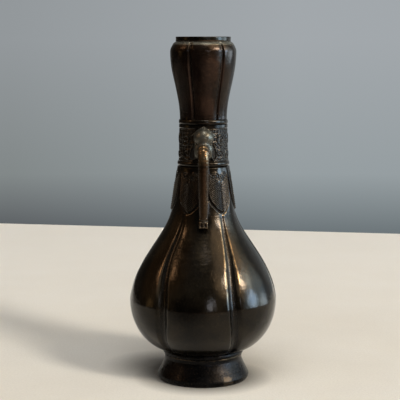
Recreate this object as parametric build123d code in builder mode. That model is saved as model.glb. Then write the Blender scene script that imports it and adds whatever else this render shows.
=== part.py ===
"""Bronze bottle vase of the hu family, cast in sections and joined by spigots and collars.

The vase stands on Z = 0 with its axis on Z. One elephant-head handle faces -Y and its twin faces +Y.
All sizes are millimetres.
"""

from build123d import *
import math
import os

# Heights of the stacked pieces, from the table up
FOOT_HEIGHT = 18.5
COLLAR_HEIGHT = 3.5
BODY_HEIGHT = 129.4
LOWER_RING_HEIGHT = 3.5
SLEEVE_HEIGHT = 25.0
UPPER_RING_HEIGHT = 3.8
MOUTH_HEIGHT = 52.9
LIP_HEIGHT = 3.4

# Fits: round joints, curved seats and the ends of blind holes
JOINT_CLEARANCE = 0.1
SEAT_GAP = 0.1
END_GAP = 0.2
SPIGOT_LENGTH = 4.5
WALL = 3.2
BEAD_DEPTH = 1.3

# Foot ring and the base plate that it carries
FOOT_WAIST_RADIUS = 27.0
FOOT_FLARE = 5.2
FOOT_EDGE_INSET = 2.4
FOOT_EDGE_HEIGHT = 4.0
FOOT_TOP_BAND = 3.0
FOOT_TOP_FLARE = 0.5
FOOT_SOCKET_WALL = 2.3
FOOT_REST_WIDTH = 3.4
COLLAR_PROUD = 0.9
BODY_SPIGOT_WALL = 2.5
PLATE_HEIGHT = 10.0
PLATE_THICKNESS = 2.5
LEDGE_WIDTH = 2.8
LEDGE_THICKNESS = 2.5
SOLDER_LEG = 1.8

# Lobes, shared by the belly and the mouth
LOBES = 6
GROOVE_HALF_ANGLE = 4.6

# Belly and shoulder
BELLY_RADIUS = 52.7
BELLY_HEIGHT = 36.0
UNDERSIDE_LIP = 0.6
UNDERSIDE_ANGLE = 15.0
BELLY_GROOVE_DEPTH = 2.9
BELLY_GROOVE_FADE = 40.0
BELLY_GROOVE_RUNOUT = 0.35
BELLY_CROWN = 1.4
BELLY_TURN = -3.5
BELLY_LOWER_SECTIONS = 8
BELLY_UPPER_SECTIONS = 8
SHOULDER_RUNOUT = 3.0
SHOULDER_FULLNESS = 1.16
NECK_STEP = 0.1
NECK_FLARE = 0.15
NECK_SECTIONS = 5
NECK_THROAT = 8.0

# Pendant leaves on the shoulder
LEAF_RELIEF = 0.7
LEAF_HALF_WIDTH = 8.6
LEAF_LENGTH = 30.9
LEAF_TIP_LENGTH = 14.0
LEAF_TOP_GAP = 0.3
LEAF_TIP_GAP = 0.2
LEAF_TURN = 3.5

# Neck bore, rings and the decorated sleeve
NECK_BORE_RADIUS = 12.8
NECK_SPIGOT_WALL = 2.1
SLEEVE_SOCKET_WALL = 1.7
SLEEVE_TAPER = 0.5
LOWER_RING_PROUD = 0.9
UPPER_RING_PROUD = 0.3

# Mouth and lip
MOUTH_STEP = 0.1
MOUTH_BULGE = 2.0
MOUTH_SWELL_DROP = 6.8
MOUTH_SHOULDER_DROP = 1.6
MOUTH_SHOULDER_WIDTH = 2.2
MOUTH_GROOVE_DEPTH = 1.1
MOUTH_CROWN = 0.5
MOUTH_TURN = 5.0
MOUTH_LOWER_SECTIONS = 7
MOUTH_UPPER_SECTIONS = 4
MOUTH_WALL = 2.4
LIP_RADIUS = 19.0
LIP_WALL = 3.4
LIP_SKIRT_WALL = 1.6
LIP_SKIRT_LENGTH = 3.0
LIP_EDGE = 0.6

# Elephant heads, placed down from the top of the sleeve
HOOD_TOP_GAP = 1.2
HOOD_RADIUS = 7.2
HOOD_PROUD = 2.2
HEAD_RADIUS = 6.3
HEAD_PROUD = 10.6
MUZZLE_RADIUS = 5.6
MUZZLE_END_RADIUS = 4.3
EAR_DROP = 9.2
EAR_HALF_WIDTH = 2.7
EAR_HALF_LENGTH = 6.2
EAR_ANGLE = 24.0
EAR_PROUD = 1.9

# Trunks, which leave the muzzle level and end on the shoulder below the leaf tips
TRUNK_DROP = 8.1
TRUNK_STANDOFF = 14.4
TRUNK_BEND = 5.5
TRUNK_TOP_RADIUS = 3.5
TRUNK_END_RADIUS = 2.7
TRUNK_END_RISE = 1.2
TRUNK_END_GAP = 0.3
TRUNK_SECTIONS = 5
TENON_RADIUS = 2.5
TENON_LENGTH = 6.0
TIP_DROP = 6.9
TIP_WIDTH = 6.1
TIP_THICKNESS = 4.6
TIP_PROUD = 6.3
TIP_CORNER = 0.9
TIP_EDGE = 0.6
NOSTRIL_RADIUS = 0.8
NOSTRIL_DEPTH = 1.2
NOSTRIL_SPACING = 2.6

# Rivets, washers and pegs
RIVET_RADIUS = 1.7
RIVET_DROP = 2.1
RIVET_GRIP = 4.8
RIVET_HEAD_RADIUS = 2.8
RIVET_HEAD_HEIGHT = 1.5
WASHER_RADIUS = 3.6
WASHER_THICKNESS = 1.3
PEG_RADIUS = 1.3
PEG_GRIP = 3.4
PEG_BURR = 1.0

# Levels of the stack
FOOT_TOP = FOOT_HEIGHT
BODY_BOTTOM = FOOT_TOP + COLLAR_HEIGHT
BODY_TOP = BODY_BOTTOM + BODY_HEIGHT
SLEEVE_BOTTOM = BODY_TOP + LOWER_RING_HEIGHT
SLEEVE_TOP = SLEEVE_BOTTOM + SLEEVE_HEIGHT
MOUTH_BOTTOM = SLEEVE_TOP + UPPER_RING_HEIGHT
MOUTH_TOP = MOUTH_BOTTOM + MOUTH_HEIGHT
LIP_TOP = MOUTH_TOP + LIP_HEIGHT
PLATE_TOP = PLATE_HEIGHT + PLATE_THICKNESS
GROOVE_TOP = BODY_HEIGHT - LEAF_TOP_GAP - LEAF_LENGTH - LEAF_TIP_GAP
GROOVE_LEVEL = BODY_BOTTOM + GROOVE_TOP
SHOULDER_TOP = GROOVE_TOP + SHOULDER_RUNOUT

# Radii that follow from the neighbours
FOOT_RADIUS = FOOT_WAIST_RADIUS + FOOT_FLARE
FOOT_REST_RADIUS = FOOT_RADIUS - FOOT_EDGE_INSET
FOOT_TOP_RADIUS = FOOT_WAIST_RADIUS + FOOT_TOP_FLARE
FOOT_SOCKET_RADIUS = FOOT_WAIST_RADIUS - FOOT_SOCKET_WALL
BODY_SPIGOT_RADIUS = FOOT_SOCKET_RADIUS - JOINT_CLEARANCE
BODY_SPIGOT_BORE = BODY_SPIGOT_RADIUS - BODY_SPIGOT_WALL
LEDGE_RADIUS = FOOT_SOCKET_RADIUS - LEDGE_WIDTH
COLLAR_RADIUS = FOOT_TOP_RADIUS + COLLAR_PROUD
UNDERSIDE_RADIUS = COLLAR_RADIUS + UNDERSIDE_LIP
NECK_SPIGOT_RADIUS = NECK_BORE_RADIUS + NECK_SPIGOT_WALL
NECK_SOCKET_RADIUS = NECK_SPIGOT_RADIUS + JOINT_CLEARANCE
SLEEVE_TOP_RADIUS = NECK_SOCKET_RADIUS + SLEEVE_SOCKET_WALL
SLEEVE_BOTTOM_RADIUS = SLEEVE_TOP_RADIUS + SLEEVE_TAPER
LOWER_RING_RADIUS = SLEEVE_BOTTOM_RADIUS + LOWER_RING_PROUD
UPPER_RING_RADIUS = SLEEVE_TOP_RADIUS + UPPER_RING_PROUD
NECK_RADIUS = SLEEVE_BOTTOM_RADIUS + NECK_STEP
LIP_BORE_RADIUS = LIP_RADIUS - LIP_WALL
LIP_SKIRT_RADIUS = LIP_BORE_RADIUS + LIP_SKIRT_WALL
MOUTH_BOTTOM_RADIUS = SLEEVE_TOP_RADIUS - MOUTH_STEP
MOUTH_SHOULDER_RADIUS = LIP_RADIUS + MOUTH_SHOULDER_WIDTH
MOUTH_RADIUS = MOUTH_SHOULDER_RADIUS + MOUTH_BULGE
MOUTH_SWELL = MOUTH_HEIGHT - MOUTH_SWELL_DROP
MOUTH_LOBE_TOP = MOUTH_HEIGHT - MOUTH_SHOULDER_DROP

# Heights of the handles
HEAD_HEIGHT = SLEEVE_TOP - HOOD_TOP_GAP - HOOD_RADIUS
EAR_HEIGHT = HEAD_HEIGHT - EAR_DROP
RIVET_HEIGHT = HEAD_HEIGHT - RIVET_DROP
TRUNK_HEIGHT = HEAD_HEIGHT - TRUNK_DROP
TIP_HEIGHT = GROOVE_LEVEL - TIP_DROP

LOBE_STEP = 360 / LOBES
HALF_TURN = (0, 0, 180)


def on_circle(radius, angle):
    """A point in plan, with the angle counted from the front of the vase."""
    turn = math.radians(angle - 90)
    return (radius * math.cos(turn), radius * math.sin(turn))


def outward_plane(angle, reach, height):
    """An upright plane that faces outward, at an angle from the front and a distance from the axis."""
    x, y = on_circle(1, angle)
    return Plane(origin=(x * reach, y * reach, height), x_dir=(-y, x, 0), z_dir=(x, y, 0))


def lobed_section(height, crest, crown, groove, turn):
    """A lobed outline: a crowned arc for each lobe, and a hollow arc for the groove after it."""
    edge_angle = LOBE_STEP / 2 - GROOVE_HALF_ANGLE
    edge_radius = crest - crown
    with BuildSketch(Plane.XY.offset(height)) as section:
        with BuildLine():
            for lobe in range(LOBES):
                middle = turn + LOBE_STEP * lobe
                start = on_circle(edge_radius, middle - edge_angle)
                end = on_circle(edge_radius, middle + edge_angle)
                bed = on_circle(edge_radius - groove, middle + LOBE_STEP / 2)
                next_start = on_circle(edge_radius, middle + LOBE_STEP - edge_angle)
                ThreePointArc(start, on_circle(crest, middle), end)
                ThreePointArc(end, bed, next_start)
        make_face()
    return section.sketch


def bead_ring(name, bore, radius, bottom, height):
    """A half-round bead that closes round a spigot."""
    with BuildPart() as bead:
        with BuildSketch(Plane.XZ):
            with BuildLine():
                low = (radius - BEAD_DEPTH, bottom)
                high = (radius - BEAD_DEPTH, bottom + height)
                ThreePointArc(low, (radius, bottom + height / 2), high)
                Polyline(high, (bore, bottom + height), (bore, bottom), low)
            make_face()
        revolve(axis=Axis.Z)
    bead.part.label = name
    export_step(bead.part, f"parts/{name}.step")


def belly_radius(level):
    """Radius over the lobes of the body, at a height above its underside."""
    if level < BELLY_HEIGHT:
        start = math.radians(UNDERSIDE_ANGLE)
        rise = math.acos(math.cos(start) * (1 - level / BELLY_HEIGHT))
        share = (math.sin(rise) - math.sin(start)) / (1 - math.sin(start))
        return UNDERSIDE_RADIUS + (BELLY_RADIUS - UNDERSIDE_RADIUS) * share
    throat = NECK_RADIUS + NECK_FLARE * (BODY_HEIGHT - level)
    swell = BELLY_RADIUS - NECK_RADIUS - NECK_FLARE * (BODY_HEIGHT - BELLY_HEIGHT)
    travel = min(1.0, (level - BELLY_HEIGHT) / (SHOULDER_TOP - BELLY_HEIGHT))
    return throat + swell * (1 + math.cos(math.pi * travel**SHOULDER_FULLNESS)) / 2


def belly_lobing(level):
    """How strongly the lobes show: in step with the radius, and dying out under the leaf tips."""
    fade = min(1.0, (GROOVE_TOP - level) / BELLY_GROOVE_FADE)
    return fade * belly_radius(level) / BELLY_RADIUS


def belly_crown(level):
    """How far a lobe stands out in its middle."""
    return BELLY_CROWN * belly_lobing(level)


def belly_groove(level):
    """Depth of the grooves between the lobes."""
    return BELLY_GROOVE_RUNOUT + (BELLY_GROOVE_DEPTH - BELLY_GROOVE_RUNOUT) * belly_lobing(level)


def belly_levels():
    """Section heights: even angles round the underside, then even steps up to the leaf tips."""
    start = math.radians(UNDERSIDE_ANGLE)
    levels = []
    for step in range(BELLY_LOWER_SECTIONS):
        angle = start + (math.pi / 2 - start) * step / BELLY_LOWER_SECTIONS
        levels.append(BELLY_HEIGHT * (1 - math.cos(angle) / math.cos(start)))
    for step in range(BELLY_UPPER_SECTIONS + 1):
        levels.append(BELLY_HEIGHT + (GROOVE_TOP - BELLY_HEIGHT) * step / BELLY_UPPER_SECTIONS)
    return levels


def belly_sections(grow):
    """The lobed outlines of the belly, grown all round by a gap."""
    return [
        lobed_section(
            BODY_BOTTOM + level,
            belly_radius(level) + grow,
            belly_crown(level),
            belly_groove(level),
            BELLY_TURN,
        )
        for level in belly_levels()
    ]


def core_point(level):
    """Radius and height of the hollow's lobes, one wall inside the belly and square to it."""
    step = 0.01
    slope = (belly_radius(level + step) - belly_radius(level)) / step
    length = math.hypot(1, slope)
    return (belly_radius(level) - WALL / length, BODY_BOTTOM + level + WALL * slope / length)


def core_sections():
    """The lobed outlines of the hollow inside the belly."""
    sections = []
    for level in belly_levels():
        radius, height = core_point(level)
        sections.append(lobed_section(height, radius, belly_crown(level), belly_groove(level), BELLY_TURN))
    return sections


def neck_outline(grow):
    """Points of the shoulder above the grooves, from the leaf tips to the top of the body."""
    points = []
    for step in range(NECK_SECTIONS + 1):
        level = GROOVE_TOP + (BODY_HEIGHT - GROOVE_TOP) * step / NECK_SECTIONS
        points.append((belly_radius(level) + grow, BODY_BOTTOM + level))
    return points


def neck_profile(grow):
    """The shoulder's solid half outline, ready to turn round the axis."""
    with BuildSketch(Plane.XZ) as profile:
        with BuildLine():
            Spline(neck_outline(grow))
            Polyline(neck_outline(grow)[-1], (0, BODY_TOP), (0, GROOVE_LEVEL), neck_outline(grow)[0])
        make_face()
    return profile.sketch


def mouth_swell(level, low, high):
    """A radius that swings smoothly from the foot of the mouth to its widest level."""
    return low + (high - low) * (1 - math.cos(math.pi * level / MOUTH_SWELL)) / 2


def mouth_radius(level):
    """Radius over the lobes of the mouth, at a height above its foot."""
    if level <= MOUTH_SWELL:
        return mouth_swell(level, MOUTH_BOTTOM_RADIUS, MOUTH_RADIUS)
    travel = (level - MOUTH_SWELL) / (MOUTH_LOBE_TOP - MOUTH_SWELL)
    return MOUTH_RADIUS - MOUTH_BULGE * (1 - math.cos(math.pi * travel / 2))


def mouth_levels():
    """Section heights of the mouth: even steps up to the swell, then even steps over it."""
    levels = [MOUTH_SWELL * step / MOUTH_LOWER_SECTIONS for step in range(MOUTH_LOWER_SECTIONS)]
    for step in range(MOUTH_UPPER_SECTIONS + 1):
        levels.append(MOUTH_SWELL + (MOUTH_LOBE_TOP - MOUTH_SWELL) * step / MOUTH_UPPER_SECTIONS)
    return levels


def sleeve_radius(height):
    """Outside radius of the tapered neck sleeve."""
    return SLEEVE_BOTTOM_RADIUS - SLEEVE_TAPER * (height - SLEEVE_BOTTOM) / SLEEVE_HEIGHT


# Reaches of the handles from the axis, set by the sleeve and the shoulder that carry them
HEAD_SEAT = sleeve_radius(HEAD_HEIGHT)
TRUNK_REACH = HEAD_SEAT + TRUNK_STANDOFF
TRUNK_START = TRUNK_REACH - TRUNK_BEND
TENON_END = TRUNK_START - TENON_LENGTH
TRUNK_END_HEIGHT = TIP_HEIGHT + TRUNK_END_RISE
TRUNK_END_REACH = belly_radius(TRUNK_END_HEIGHT - BODY_BOTTOM) + TRUNK_END_RADIUS + TRUNK_END_GAP
TIP_SEAT = belly_radius(TIP_HEIGHT - BODY_BOTTOM)
TIP_FRONT = TIP_SEAT + TIP_PROUD
PEG_ROOT = WALL + PEG_BURR
RIVET_SEAT = NECK_BORE_RADIUS - WASHER_THICKNESS
RIVET_END = sleeve_radius(RIVET_HEIGHT) + RIVET_GRIP

os.makedirs("parts", exist_ok=True)

# Foot ring: a flared stand with a rounded edge, a socket for the body and a ledge for the base plate
with BuildPart() as foot_ring:
    with BuildSketch(Plane.XZ):
        with BuildLine():
            rest = (FOOT_REST_RADIUS, 0)
            edge = (FOOT_RADIUS, FOOT_EDGE_HEIGHT)
            waist = (FOOT_WAIST_RADIUS, FOOT_HEIGHT - FOOT_TOP_BAND)
            TangentArc(edge, rest, tangent=(0, -1))
            TangentArc(waist, edge, tangent=(0, -1))
            Polyline(
                waist,
                (FOOT_TOP_RADIUS, FOOT_TOP),
                (FOOT_SOCKET_RADIUS, FOOT_TOP),
                (FOOT_SOCKET_RADIUS, PLATE_HEIGHT),
                (LEDGE_RADIUS, PLATE_HEIGHT),
                (LEDGE_RADIUS, PLATE_HEIGHT - LEDGE_THICKNESS),
                (FOOT_SOCKET_RADIUS, PLATE_HEIGHT - LEDGE_THICKNESS),
                (FOOT_REST_RADIUS - FOOT_REST_WIDTH, 0),
                rest,
            )
        make_face()
    revolve(axis=Axis.Z)
foot_ring.part.label = "foot_ring"
export_step(foot_ring.part, "parts/foot_ring.step")

# Base plate: a disc on the ledge, held down by the body's spigot
with BuildPart() as base_plate:
    with BuildSketch(Plane.XY.offset(PLATE_HEIGHT)):
        Circle(BODY_SPIGOT_RADIUS)
    extrude(amount=PLATE_THICKNESS)
base_plate.part.label = "base_plate"
export_step(base_plate.part, "parts/base_plate.step")

# Solder fillet in the corner between the plate and the ledge
with BuildPart() as base_solder_seal:
    with BuildSketch(Plane.XZ):
        with BuildLine():
            corner = (LEDGE_RADIUS, PLATE_HEIGHT)
            below = (LEDGE_RADIUS, PLATE_HEIGHT - SOLDER_LEG)
            inside = (LEDGE_RADIUS - SOLDER_LEG, PLATE_HEIGHT)
            Polyline(below, corner, inside)
            RadiusArc(below, inside, -SOLDER_LEG)
        make_face()
    revolve(axis=Axis.Z)
base_solder_seal.part.label = "base_solder_seal"
export_step(base_solder_seal.part, "parts/base_solder_seal.step")

# Beads that cover the three joints
bead_ring("foot_collar", FOOT_SOCKET_RADIUS, COLLAR_RADIUS, FOOT_TOP, COLLAR_HEIGHT)
bead_ring("lower_neck_ring", NECK_SOCKET_RADIUS, LOWER_RING_RADIUS, BODY_TOP, LOWER_RING_HEIGHT)
bead_ring("upper_neck_ring", NECK_SOCKET_RADIUS, UPPER_RING_RADIUS, SLEEVE_TOP, UPPER_RING_HEIGHT)

# Pendant leaves: prisms of the leaf outline, cut to a skin just proud of the shoulder
with BuildPart() as leaves:
    for leaf in range(LOBES):
        leaf_angle = LEAF_TURN + LOBE_STEP * (leaf + 0.5)
        with BuildSketch(outward_plane(leaf_angle, 0, BODY_TOP - LEAF_TOP_GAP)):
            with BuildLine():
                side = (LEAF_HALF_WIDTH, LEAF_TIP_LENGTH - LEAF_LENGTH)
                TangentArc(side, (0, -LEAF_LENGTH), tangent=(0, -1))
                Polyline(side, (LEAF_HALF_WIDTH, 0), (0, 0))
                mirror(about=Plane.YZ)
            make_face()
        extrude(amount=BELLY_RADIUS)
    revolve(neck_profile(LEAF_RELIEF).faces(), axis=Axis.Z, mode=Mode.INTERSECT)

# Body: lobed belly, plain shoulder with leaves, a spigot at each end and one hollow right through
with BuildPart() as lobed_body:
    loft(belly_sections(0))
    revolve(neck_profile(0).faces(), axis=Axis.Z)
    add(leaves.part)
    with BuildSketch(Plane.XY.offset(BODY_BOTTOM)):
        Circle(BODY_SPIGOT_RADIUS)
    extrude(amount=PLATE_TOP - BODY_BOTTOM)
    with BuildSketch(Plane.XY.offset(BODY_TOP)):
        Circle(NECK_SPIGOT_RADIUS)
    extrude(amount=LOWER_RING_HEIGHT + SPIGOT_LENGTH)
    loft(core_sections(), mode=Mode.SUBTRACT)
    with BuildSketch(Plane.XZ):
        with BuildLine():
            floor = core_point(0)[1]
            shoulder_core = core_point(GROOVE_TOP)
            spigot_end = BODY_TOP + LOWER_RING_HEIGHT + SPIGOT_LENGTH
            Polyline(
                (BODY_SPIGOT_BORE, PLATE_TOP),
                (BODY_SPIGOT_BORE, floor),
                (NECK_BORE_RADIUS, floor),
                (NECK_BORE_RADIUS, shoulder_core[1]),
                shoulder_core,
                (NECK_RADIUS - WALL, BODY_TOP - NECK_THROAT),
                (NECK_BORE_RADIUS, BODY_TOP),
                (NECK_BORE_RADIUS, spigot_end),
                (0, spigot_end),
                (0, PLATE_TOP),
                close=True,
            )
        make_face()
    revolve(axis=Axis.Z, mode=Mode.SUBTRACT)
    for side_angle in (0, 180):
        with BuildSketch(outward_plane(side_angle, TIP_SEAT - PEG_ROOT - END_GAP, TIP_HEIGHT)):
            Circle(PEG_RADIUS + JOINT_CLEARANCE)
        extrude(amount=BELLY_RADIUS, mode=Mode.SUBTRACT)
lobed_body.part.label = "lobed_body"
export_step(lobed_body.part, "parts/lobed_body.step")

# Neck sleeve: the decorated band, with a socket at each end and a rivet hole through front and back
with BuildPart() as neck_sleeve:
    with BuildSketch(Plane.XZ):
        with BuildLine():
            socket_depth = SPIGOT_LENGTH + END_GAP
            Polyline(
                (NECK_SOCKET_RADIUS, SLEEVE_BOTTOM),
                (SLEEVE_BOTTOM_RADIUS, SLEEVE_BOTTOM),
                (SLEEVE_TOP_RADIUS, SLEEVE_TOP),
                (NECK_SOCKET_RADIUS, SLEEVE_TOP),
                (NECK_SOCKET_RADIUS, SLEEVE_TOP - socket_depth),
                (NECK_BORE_RADIUS, SLEEVE_TOP - socket_depth),
                (NECK_BORE_RADIUS, SLEEVE_BOTTOM + socket_depth),
                (NECK_SOCKET_RADIUS, SLEEVE_BOTTOM + socket_depth),
                close=True,
            )
        make_face()
    revolve(axis=Axis.Z)
    with BuildSketch(Plane.XZ):
        with Locations((0, RIVET_HEIGHT)):
            Circle(RIVET_RADIUS + JOINT_CLEARANCE)
    extrude(amount=BELLY_RADIUS, both=True, mode=Mode.SUBTRACT)
neck_sleeve.part.label = "neck_sleeve"
export_step(neck_sleeve.part, "parts/neck_sleeve.step")

# Mouth: a lobed flare with a spigot below, a plain shoulder and a rebate for the lip
with BuildPart() as mouth_section:
    loft([
        lobed_section(
            MOUTH_BOTTOM + level,
            mouth_radius(level),
            MOUTH_CROWN,
            MOUTH_GROOVE_DEPTH,
            MOUTH_TURN,
        )
        for level in mouth_levels()
    ])
    with BuildSketch(Plane.XZ):
        with BuildLine():
            spigot_bottom = MOUTH_BOTTOM - UPPER_RING_HEIGHT - SPIGOT_LENGTH
            shoulder = MOUTH_BOTTOM + MOUTH_LOBE_TOP
            Polyline(
                (0, spigot_bottom),
                (NECK_SPIGOT_RADIUS, spigot_bottom),
                (NECK_SPIGOT_RADIUS, shoulder),
                (MOUTH_SHOULDER_RADIUS - MOUTH_CROWN - MOUTH_GROOVE_DEPTH / 2, shoulder),
                (LIP_RADIUS, MOUTH_TOP),
                (0, MOUTH_TOP),
                close=True,
            )
        make_face()
    revolve(axis=Axis.Z)
    with BuildSketch(Plane.XZ):
        with BuildLine():
            inner_swell = MOUTH_RADIUS - MOUTH_CROWN - MOUTH_GROOVE_DEPTH - MOUTH_WALL
            skirt_bottom = MOUTH_TOP - LIP_SKIRT_LENGTH - END_GAP
            flare = [
                (mouth_swell(level, NECK_BORE_RADIUS, inner_swell), MOUTH_BOTTOM + level)
                for level in mouth_levels()[:MOUTH_LOWER_SECTIONS]
            ]
            Spline(flare)
            Polyline(
                flare[-1],
                (LIP_BORE_RADIUS, skirt_bottom - LIP_SKIRT_WALL),
                (LIP_BORE_RADIUS, skirt_bottom),
                (LIP_SKIRT_RADIUS + JOINT_CLEARANCE, skirt_bottom),
                (LIP_SKIRT_RADIUS + JOINT_CLEARANCE, MOUTH_TOP),
                (0, MOUTH_TOP),
                (0, spigot_bottom),
                (NECK_BORE_RADIUS, spigot_bottom),
                flare[0],
            )
        make_face()
    revolve(axis=Axis.Z, mode=Mode.SUBTRACT)
mouth_section.part.label = "mouth_section"
export_step(mouth_section.part, "parts/mouth_section.step")

# Lip: an upright ring whose skirt drops into the mouth's rebate
with BuildPart() as lip_ring:
    with BuildSketch(Plane.XZ):
        with BuildLine():
            Polyline(
                (LIP_BORE_RADIUS, MOUTH_TOP - LIP_SKIRT_LENGTH),
                (LIP_SKIRT_RADIUS, MOUTH_TOP - LIP_SKIRT_LENGTH),
                (LIP_SKIRT_RADIUS, MOUTH_TOP),
                (LIP_RADIUS, MOUTH_TOP),
                (LIP_RADIUS, LIP_TOP),
                (LIP_BORE_RADIUS, LIP_TOP),
                close=True,
            )
        make_face()
    revolve(axis=Axis.Z)
    fillet(lip_ring.faces().sort_by(Axis.Z)[-1].edges(), radius=LIP_EDGE)
lip_ring.part.label = "lip_ring"
export_step(lip_ring.part, "parts/lip_ring.step")

# Elephant head: hood, domed forehead, muzzle and two ears, saddled on the sleeve between the rings
with BuildPart() as front_head:
    with BuildSketch(outward_plane(0, 0, HEAD_HEIGHT)):
        Circle(HOOD_RADIUS)
    extrude(amount=HEAD_SEAT + HOOD_PROUD)
    fillet(front_head.edges().sort_by(Axis.Y)[0], radius=HOOD_PROUD / 2)
    with BuildSketch(Plane.YZ):
        with BuildLine():
            centre = (-HEAD_SEAT, HEAD_HEIGHT)
            brow = EllipticalCenterArc(centre, HEAD_PROUD, HEAD_RADIUS, start_angle=90, arc_size=90)
            Polyline(brow @ 1, (0, HEAD_HEIGHT), (0, HEAD_HEIGHT + HEAD_RADIUS), brow @ 0)
        make_face()
    revolve(axis=Axis((0, 0, HEAD_HEIGHT), (0, 1, 0)))
    with BuildSketch(Plane.YZ):
        with BuildLine():
            Polyline(
                (0, TRUNK_HEIGHT),
                (-TRUNK_START, TRUNK_HEIGHT),
                (-TRUNK_START, TRUNK_HEIGHT + MUZZLE_END_RADIUS),
                (-HEAD_SEAT, TRUNK_HEIGHT + MUZZLE_RADIUS),
                (0, TRUNK_HEIGHT + MUZZLE_RADIUS),
                close=True,
            )
        make_face()
    revolve(axis=Axis((0, 0, TRUNK_HEIGHT), (0, 1, 0)))
    for ear_angle in (-EAR_ANGLE, EAR_ANGLE):
        with BuildSketch(outward_plane(ear_angle, 0, EAR_HEIGHT)):
            Ellipse(EAR_HALF_WIDTH, EAR_HALF_LENGTH)
        extrude(amount=HEAD_SEAT + EAR_PROUD)
    with BuildSketch(Plane.XZ):
        with BuildLine():
            Polyline(
                (0, 0),
                (LOWER_RING_RADIUS + SEAT_GAP, 0),
                (LOWER_RING_RADIUS + SEAT_GAP, SLEEVE_BOTTOM + SEAT_GAP),
                (SLEEVE_BOTTOM_RADIUS + SEAT_GAP, SLEEVE_BOTTOM + SEAT_GAP),
                (SLEEVE_TOP_RADIUS + SEAT_GAP, SLEEVE_TOP - SEAT_GAP),
                (UPPER_RING_RADIUS + SEAT_GAP, SLEEVE_TOP - SEAT_GAP),
                (UPPER_RING_RADIUS + SEAT_GAP, LIP_TOP),
                (0, LIP_TOP),
                close=True,
            )
        make_face()
    revolve(axis=Axis.Z, mode=Mode.SUBTRACT)
    with BuildSketch(outward_plane(0, TENON_END - END_GAP, TRUNK_HEIGHT)):
        Circle(TENON_RADIUS + JOINT_CLEARANCE)
    extrude(amount=TRUNK_REACH, mode=Mode.SUBTRACT)
    with BuildSketch(outward_plane(0, 0, RIVET_HEIGHT)):
        Circle(RIVET_RADIUS + JOINT_CLEARANCE)
    extrude(amount=RIVET_END + END_GAP, mode=Mode.SUBTRACT)
front_head.part.label = "front_head"
export_step(front_head.part, "parts/front_head.step")

# Trunk: a squarish tip seated on the shoulder, a tapering loop up to the muzzle, and a tenon
with BuildPart() as front_trunk:
    with BuildSketch(outward_plane(0, 0, TIP_HEIGHT)):
        RectangleRounded(TIP_WIDTH, TIP_THICKNESS, TIP_CORNER)
    extrude(amount=TIP_FRONT)
    fillet(front_trunk.faces().sort_by(Axis.Y)[0].edges(), radius=TIP_EDGE)
    loft(belly_sections(SEAT_GAP), mode=Mode.SUBTRACT)
    with BuildSketch(outward_plane(0, TENON_END, TRUNK_HEIGHT)):
        Circle(TENON_RADIUS)
    extrude(amount=TENON_LENGTH)
    with BuildLine(Plane.YZ, mode=Mode.PRIVATE):
        bend_end = (-TRUNK_REACH, TRUNK_HEIGHT - TRUNK_BEND)
        bend = TangentArc((-TRUNK_START, TRUNK_HEIGHT), bend_end, tangent=(-1, 0))
        run = TangentArc(bend_end, (-TRUNK_END_REACH, TRUNK_END_HEIGHT), tangent=(0, -1))
    for step in range(TRUNK_SECTIONS):
        place = step / TRUNK_SECTIONS
        with BuildSketch(Plane(bend @ place, x_dir=(1, 0, 0), z_dir=bend % place)):
            Circle(TRUNK_TOP_RADIUS)
    for step in range(TRUNK_SECTIONS + 1):
        place = step / TRUNK_SECTIONS
        with BuildSketch(Plane(run @ place, x_dir=(1, 0, 0), z_dir=run % place)):
            Circle(TRUNK_TOP_RADIUS + (TRUNK_END_RADIUS - TRUNK_TOP_RADIUS) * place)
    loft()
    with BuildSketch(outward_plane(0, TIP_FRONT - NOSTRIL_DEPTH, TIP_HEIGHT)):
        with GridLocations(NOSTRIL_SPACING, 1, 2, 1):
            Circle(NOSTRIL_RADIUS)
    extrude(amount=TIP_PROUD, mode=Mode.SUBTRACT)
    with BuildSketch(outward_plane(0, 0, TIP_HEIGHT)):
        Circle(PEG_RADIUS + JOINT_CLEARANCE)
    extrude(amount=TIP_SEAT + PEG_GRIP + END_GAP, mode=Mode.SUBTRACT)
front_trunk.part.label = "front_trunk"
export_step(front_trunk.part, "parts/front_trunk.step")

# The handle on the back is the front one, half a turn round
with BuildPart() as back_head:
    add(front_head.part, rotation=HALF_TURN)
back_head.part.label = "back_head"
export_step(back_head.part, "parts/back_head.step")

with BuildPart() as back_trunk:
    add(front_trunk.part, rotation=HALF_TURN)
back_trunk.part.label = "back_trunk"
export_step(back_trunk.part, "parts/back_trunk.step")

# Rivets: a domed head inside the neck, and a shank out through the sleeve into each elephant head
with BuildPart() as head_rivets:
    with BuildSketch(outward_plane(0, RIVET_SEAT, RIVET_HEIGHT)):
        Circle(RIVET_RADIUS)
    extrude(amount=RIVET_END - RIVET_SEAT)
    with BuildSketch(Plane.YZ):
        with BuildLine():
            centre = (-RIVET_SEAT, RIVET_HEIGHT)
            dome = EllipticalCenterArc(centre, RIVET_HEAD_HEIGHT, RIVET_HEAD_RADIUS, arc_size=90)
            Polyline(dome @ 1, centre, dome @ 0)
        make_face()
    revolve(axis=Axis((0, 0, RIVET_HEIGHT), (0, 1, 0)))
    mirror(about=Plane.XZ)
head_rivets.part.label = "head_rivets"
export_step(head_rivets.part, "parts/head_rivets.step")

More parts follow.
